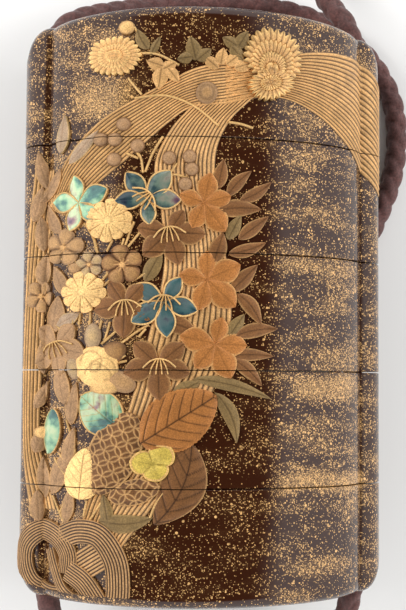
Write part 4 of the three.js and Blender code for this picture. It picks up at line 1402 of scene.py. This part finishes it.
# Narrow leaves: place, length, width, turn, bow and finish.
LEAVES = [
    (0.9, 18.6, 4.4, 2.1, 78, 0, "bronze"), (3.6, 17.3, 5.0, 1.9, 47, 0.25, "bronze"),
    (6.0, 16.2, 5.3, 1.8, 32, -0.3, "bronze"), (3.5, 13.4, 6.6, 2.5, 3, 0.3, "bronze"),
    (2.9, 10.9, 4.0, 1.9, 62, 0, "green"), (5.7, 10.9, 5.4, 2.0, 38, 0, "bronze"),
    (0.6, 7.9, 4.6, 2.6, 72, 0, "bronze"), (4.8, 7.9, 5.6, 1.9, 18, -0.25, "bronze"),
    (4.4, 3.6, 5.4, 2.2, 46, 0, "bronze"), (5.1, -0.9, 5.6, 2.2, -52, 0.5, "bronze"),
    (3.3, -3.2, 3.8, 1.9, 56, 0, "green"), (6.2, -4.2, 6.2, 2.1, 10, 0.35, "bronze"),
    (5.3, -7.6, 6.8, 1.8, 0, 0.2, "bronze"), (4.8, -9.9, 5.8, 2.0, -42, 0.35, "bronze"),
    (2.7, -12.3, 11.6, 1.8, -14, 0.5, "green"), (1.8, -16.4, 7.8, 2.2, -66, 0.8, "green"),
    (-3.8, -12.3, 4.4, 2.2, 28, 0, "green"), (-4.6, -3.4, 4.6, 2.6, -20, 0, "bronze"),
    (-8.6, 5.2, 5.0, 2.2, 62, 0, "green"), (-10.4, 38.2, 3.4, 1.7, 118, 0.2, "green"),
    (-8.6, 37.2, 3.0, 1.1, 64, 0, "green"), (-3.2, 36.9, 3.6, 2.2, 104, 0, "green"),
    (-1.6, 36.0, 2.6, 1.8, 40, 0, "green"), (-4.4, 35.4, 2.2, 1.6, 190, 0, "green"),
    (2.2, 38.0, 2.6, 1.7, 150, 0, "green"), (4.0, 38.4, 3.0, 1.9, 60, 0, "green"),
    (3.2, 36.3, 2.8, 1.8, -50, 0, "green"), (-21.6, 25.0, 5.6, 1.7, 84, 0, "haze"),
    (-18.7, 22.8, 6.2, 1.8, 48, 0, "haze"), (-24.4, 20.0, 6.2, 2.2, 108, 0.3, "umber"),
    (-25.2, 15.0, 5.4, 2.2, 78, 0, "umber"), (-23.2, 17.6, 5.6, 1.7, 60, -0.3, "umber"),
    (-24.6, 10.6, 5.4, 2.4, 96, 0, "umber"), (-22.8, 12.6, 5.0, 1.8, 112, 0.3, "umber"),
    (-24.0, 5.2, 5.0, 2.6, 84, 0, "umber"), (-21.8, 3.4, 4.6, 1.8, 110, 0, "umber"),
    (-22.4, -1.6, 5.6, 2.6, 82, 0, "umber"), (-20.6, -2.4, 3.6, 2.0, 28, 0, "haze"),
    (-24.2, -7.8, 5.0, 2.2, 94, 0, "umber"), (-21.2, -11.6, 6.4, 2.2, 98, 0.2, "umber"),
    (-19.6, -14.6, 6.2, 1.9, 84, 0.3, "umber"), (-24.2, -13.4, 4.6, 1.9, 60, 0, "umber"),
    (-24.6, -20.2, 3.6, 2.4, 70, 0, "umber"), (-20.0, -21.0, 6.0, 1.8, 80, 0.2, "umber"),
    (-21.6, -24.6, 6.6, 2.4, 74, 0, "umber"), (-23.6, -25.4, 6.0, 1.9, 96, 0, "umber"),
    (-20.2, -29.2, 5.2, 1.7, 82, 0, "umber"), (-24.6, -29.6, 4.6, 2.6, 94, 0, "umber"),
    (-8.6, 34.6, 2.6, 1.9, 160, 0, "leaf_gold"), (-6.6, 34.2, 2.4, 1.7, 30, 0, "leaf_gold"),
    (-7.9, 32.4, 3.2, 2.2, 262, 0, "leaf_gold"), (-6.0, 32.9, 2.6, 1.6, -52, 0, "leaf_gold"),
    (-0.6, 34.9, 2.8, 1.7, 140, 0, "leaf_gold"), (1.0, 35.8, 2.6, 1.8, 80, 0, "leaf_gold"),
    (2.6, 35.4, 2.6, 1.7, 40, 0, "leaf_gold"), (4.2, 34.6, 3.0, 1.8, 20, 0, "leaf_gold"),
]

# Flowers of five pointed petals: the middle, the petals' tips, their width and the finish.
FLOWERS = [
    ((-1.5, 14.3), [(-0.6, 18.7), (2.4, 15.4), (1.6, 10.2), (-3.2, 10.6), (-5.0, 15.5)], 0.66, "orange"),
    ((-1.0, 3.3), [(-1.0, 7.4), (3.8, 5.5), (3.1, -0.6), (-2.2, -1.1), (-5.0, 3.9)], 0.66, "orange"),
    ((0.2, -5.9), [(1.2, -2.1), (4.8, -6.1), (2.5, -10.8), (-2.6, -9.4), (-4.8, -4.8)], 0.68, "orange"),
    ((-6.4, 10.0), [(-10.9, 10.7), (-4.4, 13.2), (-1.3, 9.8), (-5.0, 5.4), (-10.0, 6.6)], 0.66, "bronze"),
    ((-12.5, -0.3), [(-14.7, 3.0), (-16.8, -1.2), (-12.7, -5.2), (-9.0, -2.6), (-10.0, 2.5)], 0.68,
     "bronze"),
    ((-7.8, -8.9), [(-11.2, -5.8), (-4.2, -5.9), (-12.6, -10.2), (-7.6, -14.0), (-3.4, -10.2)], 0.66,
     "bronze"),
    ((-22.0, -6.4), [(-24.8, -3.4), (-19.6, -3.2), (-18.0, -7.4), (-21.4, -10.6), (-25.2, -8.8)], 0.68,
     "umber"),
    ((-19.1, 14.6), [(-19.8, 18.6), (-15.2, 16.5), (-16.6, 12.0), (-20.3, 10.6), (-22.6, 15.0)], 0.6,
     "mint"),
    ((-9.6, 14.9), [(-12.5, 18.7), (-6.3, 18.9), (-4.8, 14.7), (-9.2, 11.2), (-14.0, 14.6)], 0.56, "dusk"),
    ((-7.1, 0.1), [(-11.2, 2.4), (-4.7, 3.5), (-2.4, -1.2), (-6.6, -5.0), (-11.5, -2.9)], 0.54, "navy"),
]
# Where the stamens' arch stands over a flower, and which way it is turned.
STAMENS = [
    ((-6.4, 10.2), 8), ((-12.5, -0.3), 5), ((-7.6, -8.7), 0), ((-7.0, 0.4), -4), ((-9.5, 15.2), -48),
    ((-22.0, -6.2), 20),
]
BLOSSOMS = [
    (-13.0, 5.4, 2.9, 100, "bronze"), (-21.3, 8.2, 2.7, 80, "umber"), (-24.6, 1.2, 2.4, 60, "umber"),
    (-17.6, 5.5, 1.9, 30, "haze"),
]
BERRIES = [
    (-13.0, 25.8), (-14.2, 23.6), (-16.2, 23.7), (-11.0, 22.6), (-14.3, 20.7), (-6.5, 20.8), (-3.6, 21.0),
    (-3.3, 19.2), (-4.2, 17.0),
]
# Buds: place, half length, share of it across, turn and finish.
BUDS = [
    (-12.7, 40.0, 1.15, 0.9, 0, "gold"), (-17.0, -4.9, 1.9, 0.62, 88, "haze"),
    (-14.2, -7.2, 2.0, 0.72, 25, "bronze"), (-12.9, -11.4, 2.1, 0.7, -25, "umber"),
    (-19.6, -9.4, 1.7, 0.6, 100, "haze"), (-15.2, -12.2, 2.2, 0.5, 4, "gold"),
    (-24.0, -18.9, 1.2, 0.8, 0, "gold"), (-19.6, 5.1, 1.0, 0.8, 0, "umber"),
    (-1.2, 30.4, 1.65, 0.95, 60, "umber"),
]
STEMS = [
    [(-10.8, 36.2), (-8.4, 36.0), (-5.2, 34.4)], [(-12.4, 32.5), (-11.4, 31.2), (-10.5, 30.1)],
    [(2.0, 26.2), (3.8, 26.0), (5.6, 25.5)], [(-11.5, 29.6), (-7.0, 29.9), (-3.0, 28.4), (0.6, 25.6)],
    [(-11.6, 40.0), (-10.9, 38.9), (-9.8, 38.2)], [(-12.1, 22.9), (-10.6, 21.0), (-10.2, 18.7)],
    [(-11.6, 22.6), (-10.7, 21.0)], [(-12.6, 21.6), (-10.9, 20.8)],
    [(-7.4, 24.0), (-8.8, 21.6), (-9.9, 18.8)],
    [(-4.0, 18.0), (-6.0, 18.4), (-7.2, 17.6)], [(-5.4, 20.0), (-6.6, 18.2), (-8.0, 16.4)],
    [(-18.4, 11.6), (-17.2, 9.6), (-16.6, 7.4)], [(-17.6, 11.4), (-17.0, 9.4), (-16.5, 7.2)],
    [(-14.4, 9.0), (-15.2, 7.4)], [(-12.8, 9.2), (-13.2, 7.6)],
    [(-11.9, 12.6), (-12.0, 10.2), (-12.6, 8.2)],
    [(-11.4, 11.6), (-12.0, 10.0)], [(-10.6, 10.0), (-12.2, 8.0)],
    [(-11.6, 3.0), (-9.4, 4.4), (-8.2, 5.6)], [(-12.4, 3.4), (-11.2, 4.4)],
    [(-19.6, 3.8), (-20.4, 5.6), (-21.6, 6.6)], [(-19.0, 4.0), (-19.6, 6.2)],
    [(-15.8, 3.2), (-15.0, 4.2)], [(-15.6, 2.4), (-14.2, 3.6)],
    [(-19.6, -1.6), (-19.9, -3.0)], [(-18.8, -1.5), (-19.0, -3.2)],
    [(-17.4, -1.4), (-17.6, -5.0), (-18.2, -8.6)],
    [(-22.2, -3.2), (-20.8, -4.6)], [(-15.8, -2.6), (-16.2, -4.2)], [(-14.6, -2.8), (-15.4, -5.6)],
    [(-13.6, -4.0), (-15.8, -6.0)], [(-9.2, -3.2), (-11.4, -4.6), (-13.4, -6.2)],
    [(-9.6, -3.8), (-10.6, -5.0)],
    [(-12.4, -7.6), (-13.6, -8.4)], [(-12.2, -8.4), (-13.6, -8.7)],
    [(-11.0, -10.8), (-13.0, -12.2), (-14.2, -12.9)],
    [(-20.6, -17.0), (-19.4, -21.0), (-19.0, -24.0)], [(-22.2, -22.6), (-20.6, -25.0)],
    [(-17.6, -28.4), (-18.0, -30.6)], [(-15.6, -28.6), (-17.4, -31.6)],
    [(-22.4, -28.0), (-20.8, -31.4), (-19.6, -32.8)],
    [(-6.2, -26.0), (-8.0, -28.6), (-8.8, -30.6)], [(-18.8, -11.4), (-19.4, -9.6), (-19.0, -8.0)],
    [(-21.6, -21.8), (-20.2, -23.8), (-20.2, -27.6), (-21.4, -30.4)],
]

# The knot's ropes, each over the ones before it: path, width, number of cords and lift.
KNOT = [
    ([(-13.3, -43.4), (-13.1, -40.2), (-13.6, -36.6), (-15.9, -33.3), (-18.6, -32.8), (-21.2, -34.0)], 3.4,
     8, 0.08),
    ([(-20.2, -38.9), (-20.1, -36.2), (-21.6, -33.8), (-24.0, -33.1), (-26.2, -35.2), (-26.4, -38.2),
      (-25.3, -41.0), (-22.9, -42.3), (-20.6, -42.4)], 3.0, 8, 0.14),
    ([(-22.4, -35.6), (-21.7, -38.4), (-20.6, -41.2), (-18.2, -43.0)], 1.5, 4, 0.34),
    ([(-20.0, -38.4), (-18.0, -39.8), (-16.4, -42.0), (-15.8, -43.0)], 3.1, 8, 0.24),
]


METALS = (
    "gold", "pale_gold", "orange_gold", "bronze", "grey_gold", "umber", "haze", "deep",
    "shell_mint", "shell_dusk", "shell_navy", "foil",
)


def finishes(looks):
    """Each finish of the raised work: its ground; its rim colour, which on crests and domes is the painted
    highlight; and its dark or heart, which round beads and lobes is the painted shade.
    """
    metal = {name: np.array(getattr(looks, name)[:]) for name in METALS}
    gold, pale, orange, deep = metal["gold"], metal["pale_gold"], metal["orange_gold"], metal["deep"]
    bronze, umber, haze = metal["bronze"], metal["umber"], metal["haze"]
    grey, mint, foil = metal["grey_gold"], metal["shell_mint"], metal["foil"]
    return {
        "line": (gold * 0.82, gold * 1.08, deep), "wire": (gold * 0.8, pale * 0.85, deep),
        "gold": (gold, pale, deep), "pale": (gold * 1.15, pale, gold * 0.42),
        "leaf_gold": (gold * 0.85, gold * 1.05, deep),
        "orange": (orange, gold * 1.05, orange * 0.62),
        "bronze": (bronze, gold * 0.8, deep * 1.1), "green": (grey, grey * 1.5, deep),
        "umber": (umber, gold * 0.8, umber * 0.55), "haze": (haze, pale * 0.6, umber * 0.7),
        "berry": (umber * 0.8, umber * 1.5, bronze * 0.7), "knot": (umber * 0.95, gold * 0.95, deep * 0.9),
        "mint": (mint,) * 3, "pearl": (mint * 0.8,) * 3,
        "dusk": (metal["shell_dusk"],) * 3, "navy": (metal["shell_navy"],) * 3,
        "foil": (foil, gold * 1.1, foil * 0.8),
    }


# The kind of work that a finish is done in; every other finish is bronze work.
WORK_OF = {
    "gold": "gold", "pale": "gold", "orange": "gold", "leaf_gold": "gold", "foil": "gold",
    "mint": "shell", "dusk": "shell", "navy": "shell",
}


def work_of(metal):
    return WORK_OF.get(metal, "bronze")


def lay_streams(bench, finish):
    for left, right, count, fill in STREAMS.values():
        bench.comb("gold", left, right, count, fill, finish["line"], STREAM_HEIGHT)


def lay_lid(bench, finish):
    """The chrysanthemums on the lid."""
    gold, pale, dark = finish["gold"]
    bench.set("gold", chrysanthemum, 60, 60, -14.4, 35.9, lift=0.25, r=3.85, squash=0.76, petals=24,
              colours=finish["pale"], tiers=3, ring=0.12, dome=0.45)
    bench.set("gold", chrysanthemum, 64, 64, 8.6, 36.2, lift=0.35, turn=-14, r=4.5, squash=0.95, petals=26,
              colours=(gold, pale, dark), notch=0.2, tiers=4, eye=(0.1, -2.6), dome=0.8)
    bench.set("gold", chrysanthemum, 56, 56, 8.2, 32.1, lift=0.55, turn=18, r=3.6, squash=0.66, petals=22,
              colours=(gold, pale * 1.1, dark), notch=0.24, tiers=2, eye=(-0.3, 0.2), dome=0.75)


def lay_leaves(bench, finish):
    for number, (x, y, long, wide, turn, bow, metal) in enumerate(LEAVES):
        curled = x > 2 and y < 20
        lift = 0.14 + 0.04 * (number % 4)
        bench.set(work_of(metal), blade, 22, 12, x, y, turn=turn, lift=lift, long=long, wide=wide,
                  bend=bow, colours=finish[metal], tip=0.25 if curled else 0.0,
                  pairs=5 if metal == "umber" else 0)


def lay_flowers(bench, finish):
    """The pointed flowers, petal by petal, with gold wire round those of shell."""
    for middle, tips, wide, metal in FLOWERS:
        work = work_of(metal)
        heart = bench.flat_path([middle])[0]
        for number, tip in enumerate(tips):
            end = bench.flat_path([tip])[0]
            way = end - heart
            long = float(np.hypot(*way))
            spot = tuple((heart + end) / 2)
            turn = math.degrees(math.atan2(way[1], way[0]))
            shape = dict(long=long, wide=wide * long, full_at=0.56, blunt=0.8)
            bench.lay(work, blade, 24, 16, spot, turn, 0.3 + 0.03 * number, colours=finish[metal], dome=0.3,
                      rim=0.84, **shape)
            if work == "shell":
                bench.wire_round("gold", blade, spot, turn, 0.26, finish["wire"], 0.36 + 0.03 * number,
                                 colours=finish[metal], **shape)
    for x, y, r, first, metal in BLOSSOMS:
        ground, rim, _ = finish[metal]
        colours = (ground, rim, finish["gold"][0])
        bench.set("bronze", plum, 34, 34, x, y, lift=0.24, r=r, first=first, colours=colours)


def lay_heads(bench, finish):
    """Round heads, berries and buds."""
    for x, y in BERRIES:
        bench.set("bronze", bead, 14, 14, x, y, lift=0.25, r=1.02, colours=finish["berry"], dome=0.6)
    for x, y, r, squash, turn, metal in BUDS:
        bench.set(work_of(metal), bead, 18, 18, x, y, turn=turn, lift=0.2, r=r, squash=squash,
                  colours=finish[metal], eye=0.6 if squash > 0.92 else 0.0)
    pale = finish["pale"]
    bench.set("gold", lacy_head, 48, 48, -14.9, 11.8, lift=0.4, r=3.25, squash=0.95, colours=pale)
    bench.set("gold", lacy_head, 48, 48, -18.4, 1.5, lift=0.38, r=3.1, squash=0.95, turn=20, colours=pale)
    bench.set("gold", round_blossom, 44, 44, -16.4, -9.2, lift=0.4, r=3.05, squash=0.96, colours=pale)


def lay_broad_leaves(bench, finish):
    gold, pale, deep = finish["gold"]
    bronze, orange = finish["bronze"][0], finish["orange"][0]
    bench.set("bronze", broad_leaf, 56, 40, -5.6, -25.8, turn=66, lift=0.12, long=12.6, wide=6.4, bend=-1.4,
              colours=(bronze * 0.95, gold * 0.8, deep), full_at=0.55)
    lobes = ((110, -13.9, -21.6, 66, 12.6, 7.0, 0.34), (64, -11.0, -27.0, 14, 7.4, 3.6, 0.26))
    for columns, x, y, turn, long, wide, lift in lobes:
        bench.set("bronze", lattice_lobe, columns, 60, x, y, turn=turn, lift=lift, long=long, wide=wide,
                  colours=(bronze * 0.82, gold * 0.9, deep))
    bench.set("gold", broad_leaf, 80, 56, -4.9, -16.7, turn=33, lift=0.42, long=12.6, wide=8.2,
              colours=(orange, orange * 1.2, deep), full_at=0.46, teeth=22, pairs=6)
    bench.set("gold", broad_leaf, 56, 44, -18.1, -24.6, turn=84, lift=0.4, long=7.4, wide=5.0,
              colours=(pale, pale, gold * 0.7), full_at=0.4, teeth=14, pairs=5, line=0.07)
    for x, y, turn, long, wide, bow in (
        (-12.2, -30.8, 4, 7.6, 2.6, -0.7), (-14.9, -29.6, 100, 4.6, 1.8, 0),
    ):
        bench.set("bronze", blade, 34, 16, x, y, turn=turn, lift=0.16, long=long, wide=wide, bend=bow,
                  colours=finish["green"])
    bench.set("gold", star, 40, 40, -8.4, -23.0, turn=10, lift=0.5, r=3.3, petals=3, first=160, valley=0.62,
              point=0.5, squash=0.86, colours=finish["foil"], uneven=0.12)


def lay_shell(bench, finish):
    """The leaf and the oval of mother-of-pearl."""
    spot = bench.flat_path([(-22.6, -18.7), (-15.7, -15.9)])
    oval = dict(long=6.6, wide=3.6, blunt=0.55, full_at=0.5, colours=finish["pearl"])
    bench.lay("shell", blade, 40, 22, tuple(spot[0]), 82, 0.3, dome=0.45, **oval)
    bench.wire_round("gold", blade, tuple(spot[0]), 82, 0.24, finish["wire"], 0.3, **oval)
    leaf = dict(long=7.8, wide=6.2, full_at=0.5, colours=(*finish["pearl"][:2], finish["pale"][0]))
    bench.lay("shell", broad_leaf, 60, 46, tuple(spot[1]), 142, 0.26, pairs=6, line=0.07, **leaf)
    bench.wire_round("gold", broad_leaf, tuple(spot[1]), 142, 0.22, finish["wire"], 0.32, **leaf)


def lay_wires(bench, finish):
    """Stems, and the stamens of the flowers."""
    for path in STEMS:
        bench.thread("gold", path, 0.34, finish["wire"][:2], 0.3, lift=0.12)
    for middle, turn in STAMENS:
        angle = math.radians(turn)
        spin = np.array(((math.cos(angle), math.sin(angle)), (-math.sin(angle), math.cos(angle))))
        place = lambda points: [tuple(point) for point in np.array(points) @ spin + middle]
        bench.thread("gold", place([(-2.3, -0.7), (-1.2, 0.3), (0, 0.6), (1.2, 0.3), (2.3, -0.6)]), 0.24,
                     finish["wire"][:2], 0.2, lift=0.74)
        for foot in (-1.1, -0.4, 0.3, 1.0):
            bench.thread("gold", place([(foot * 0.4, 0.5), (foot, -0.7), (foot * 1.2, -1.6)]), 0.2,
                         finish["wire"][:2], 0.2, lift=0.74)


def lay_knot(bench, finish):
    bench.set("bronze", hatched_patch, 8, 56, -17.4, -37.2, turn=35, long=4.6, wide=4.2, lines=9,
              colours=finish["knot"])
    for path, width, lines, lift in KNOT:
        bench.lay("bronze", rope, 70, 5 * lines, lift=lift, path=bench.flat_path(path), width=width,
                  lines=lines, colours=finish["knot"])


# The figures of one half of the back: flowers with their first petal and finish, leaves with their turn.
BACK_FLOWERS = ((17.5, 24, 80, "orange"), (16.5, 2, 100, "bronze"), (18.0, -20, 60, "orange"))
BACK_LEAVES = ((13.0, 16, 120), (21.0, 11, 60), (20.6, -6, 110), (13.2, -9, 70), (13.4, -27, 130))


def lay_back(bench, finish):
    """The plainer back: a stream down either side, with a few blossoms and leaves laid over each."""
    bench.side = -1
    for side in (-1, 1):
        outer = [(side * x, y) for x, y in ((20.5, 33), (22.0, 20), (19.5, 5), (21.5, -12), (19.0, -33))]
        inner = [(side * x, y) for x, y in ((16.5, 33), (17.5, 20), (14.5, 5), (16.5, -12), (13.0, -33))]
        bench.comb("gold", inner, outer, 8, 0.8, finish["line"], STREAM_HEIGHT)
        for x, y, first, metal in BACK_FLOWERS:
            ground, rim, _ = finish[metal]
            bench.set(work_of(metal), star, 32, 32, side * x, y, lift=0.05, r=3.6, first=first,
                      colours=(ground, rim, rim), dome=0.2)
        for x, y, turn in BACK_LEAVES:
            bench.set("bronze", blade, 20, 10, side * x, y, turn=turn, lift=0.04, long=5.4, wide=2.0,
                      colours=finish["bronze"], dome=0.16)
    bench.side = 1


class INRO_OT_relief(bpy.types.Operator):
    """Lay the raised gold and bronze work and the shell inlay on the lid and the boxes"""

    bl_idname = "inro.relief"
    bl_label = "Raised work and inlay"

    def execute(self, context):
        bench = Bench(Section(context.scene.inro_body))
        finish = finishes(context.scene.inro_looks)
        for lay in (
            lay_streams, lay_lid, lay_leaves, lay_flowers, lay_heads, lay_broad_leaves, lay_shell,
            lay_wires, lay_knot, lay_back,
        ):
            lay(bench, finish)
        bench.finish("gold", metal_material("gold_relief", 0.35, 0.4), "gold_relief")
        bench.finish("bronze", metal_material("bronze_relief", 0.3, 0.46), "bronze_relief")
        bench.finish("shell", shell_material(), "shell_inlay")
        return {"FINISHED"}


# ---- Stage ---------------------------------------------------------------------------------------


# The dark round overhead: its axis, and the degrees from it between which it fades into the surround.
DARK_ROUND_AXIS = (-0.052, 0.0, 0.9986)
DARK_ROUND = (29, 42)
SURROUND = 1.3
OVERHEAD = 0.03
SOFT_LIGHTS = (("light_left", (-0.6, 0.15, 0.42), 0.4, 4.4), ("light_right", (0.6, 0.1, 0.42), 0.4, 3.5))


class INRO_OT_stage(bpy.types.Operator):
    """Set the pale floor, the soft lights and the camera over the case"""

    bl_idname = "inro.stage"
    bl_label = "Floor, lights and camera"

    def execute(self, context):
        looks = context.scene.inro_looks
        deselect_all()
        bpy.ops.mesh.primitive_plane_add(size=4, location=(0, 0, -0.0001))
        floor = context.object
        floor.name = "floor"
        nodes = Nodes("floor")
        nodes.set(Base_Color=(*looks.floor, 1), Roughness=0.9, Specular_IOR_Level=0.2)
        give_material(floor, nodes.material)

        self.light_studio(context)

        eye = Vector((-20.764, -11.694, 201.445)) * MM
        axis = Vector((0.10935, 0.06446, -0.99191))
        up = Vector((-0.01352, 0.99790, 0.06335))
        right = axis.cross(up).normalized()
        up = right.cross(axis)
        bpy.ops.object.camera_add(location=eye)
        camera = context.object
        camera.name = "camera"
        turn = Matrix((right, up, -axis)).transposed()
        camera.rotation_euler = turn.to_euler()
        camera.data.lens = 72.56
        camera.data.sensor_width = 36
        camera.data.clip_start = 0.01
        context.scene.camera = camera
        context.scene.view_settings.view_transform = "Standard"
        return {"FINISHED"}

    def light_studio(self, context):
        """A bright surround with a dark round above, which the polished front shows as its dark middle."""
        world = bpy.data.worlds.new("studio")
        context.scene.world = world
        world.use_nodes = True
        tree = world.node_tree
        way = tree.nodes.new("ShaderNodeTexCoord")
        lean = tree.nodes.new("ShaderNodeVectorMath")
        lean.operation = "DOT_PRODUCT"
        lean.inputs[1].default_value = DARK_ROUND_AXIS
        tree.links.new(way.outputs["Generated"], lean.inputs[0])
        fade = tree.nodes.new("ShaderNodeMapRange")
        fade.interpolation_type = "SMOOTHSTEP"
        reach = [math.cos(math.radians(angle)) for angle in reversed(DARK_ROUND)]
        for number, value in enumerate((*reach, SURROUND, OVERHEAD), 1):
            fade.inputs[number].default_value = value
        tree.links.new(lean.outputs["Value"], fade.inputs[0])
        background = tree.nodes["Background"]
        background.inputs["Color"].default_value = (0.985, 0.99, 1, 1)
        tree.links.new(fade.outputs[0], background.inputs["Strength"])
        for name, place, size, power in SOFT_LIGHTS:
            bpy.ops.object.light_add(type="AREA", location=place)
            light = context.object
            light.name = name
            light.data.size = size
            light.data.energy = power
            light.rotation_euler = (-Vector(place)).to_track_quat("-Z", "Y").to_euler()
            light.visible_glossy = False


class INRO_PT_panel(bpy.types.Panel):
    """The inro's operators"""

    bl_idname = "INRO_PT_panel"
    bl_label = "Inro"
    bl_space_type = "VIEW_3D"
    bl_region_type = "UI"
    bl_category = "Inro"

    def draw(self, context):
        for operator in OPERATORS:
            self.layout.operator(operator.bl_idname)


OPERATORS = (INRO_OT_tiers, INRO_OT_relief, INRO_OT_cords, INRO_OT_stage)
GROUPS = {"inro_body": INRO_PG_body, "inro_cord": INRO_PG_cord, "inro_looks": INRO_PG_looks}


def register():
    for group in GROUPS.values():
        bpy.utils.register_class(group)
    for operator in (*OPERATORS, INRO_PT_panel):
        bpy.utils.register_class(operator)
    for name, group in GROUPS.items():
        setattr(bpy.types.Scene, name, PointerProperty(type=group))


def unregister():
    for name in GROUPS:
        delattr(bpy.types.Scene, name)
    for operator in (INRO_PT_panel, *reversed(OPERATORS)):
        bpy.utils.unregister_class(operator)
    for group in GROUPS.values():
        bpy.utils.unregister_class(group)


def main():
    register()
    bpy.ops.inro.stage()
    bpy.ops.inro.cords()
    bpy.ops.inro.tiers()
    bpy.ops.inro.relief()


if __name__ == "__main__":
    main()
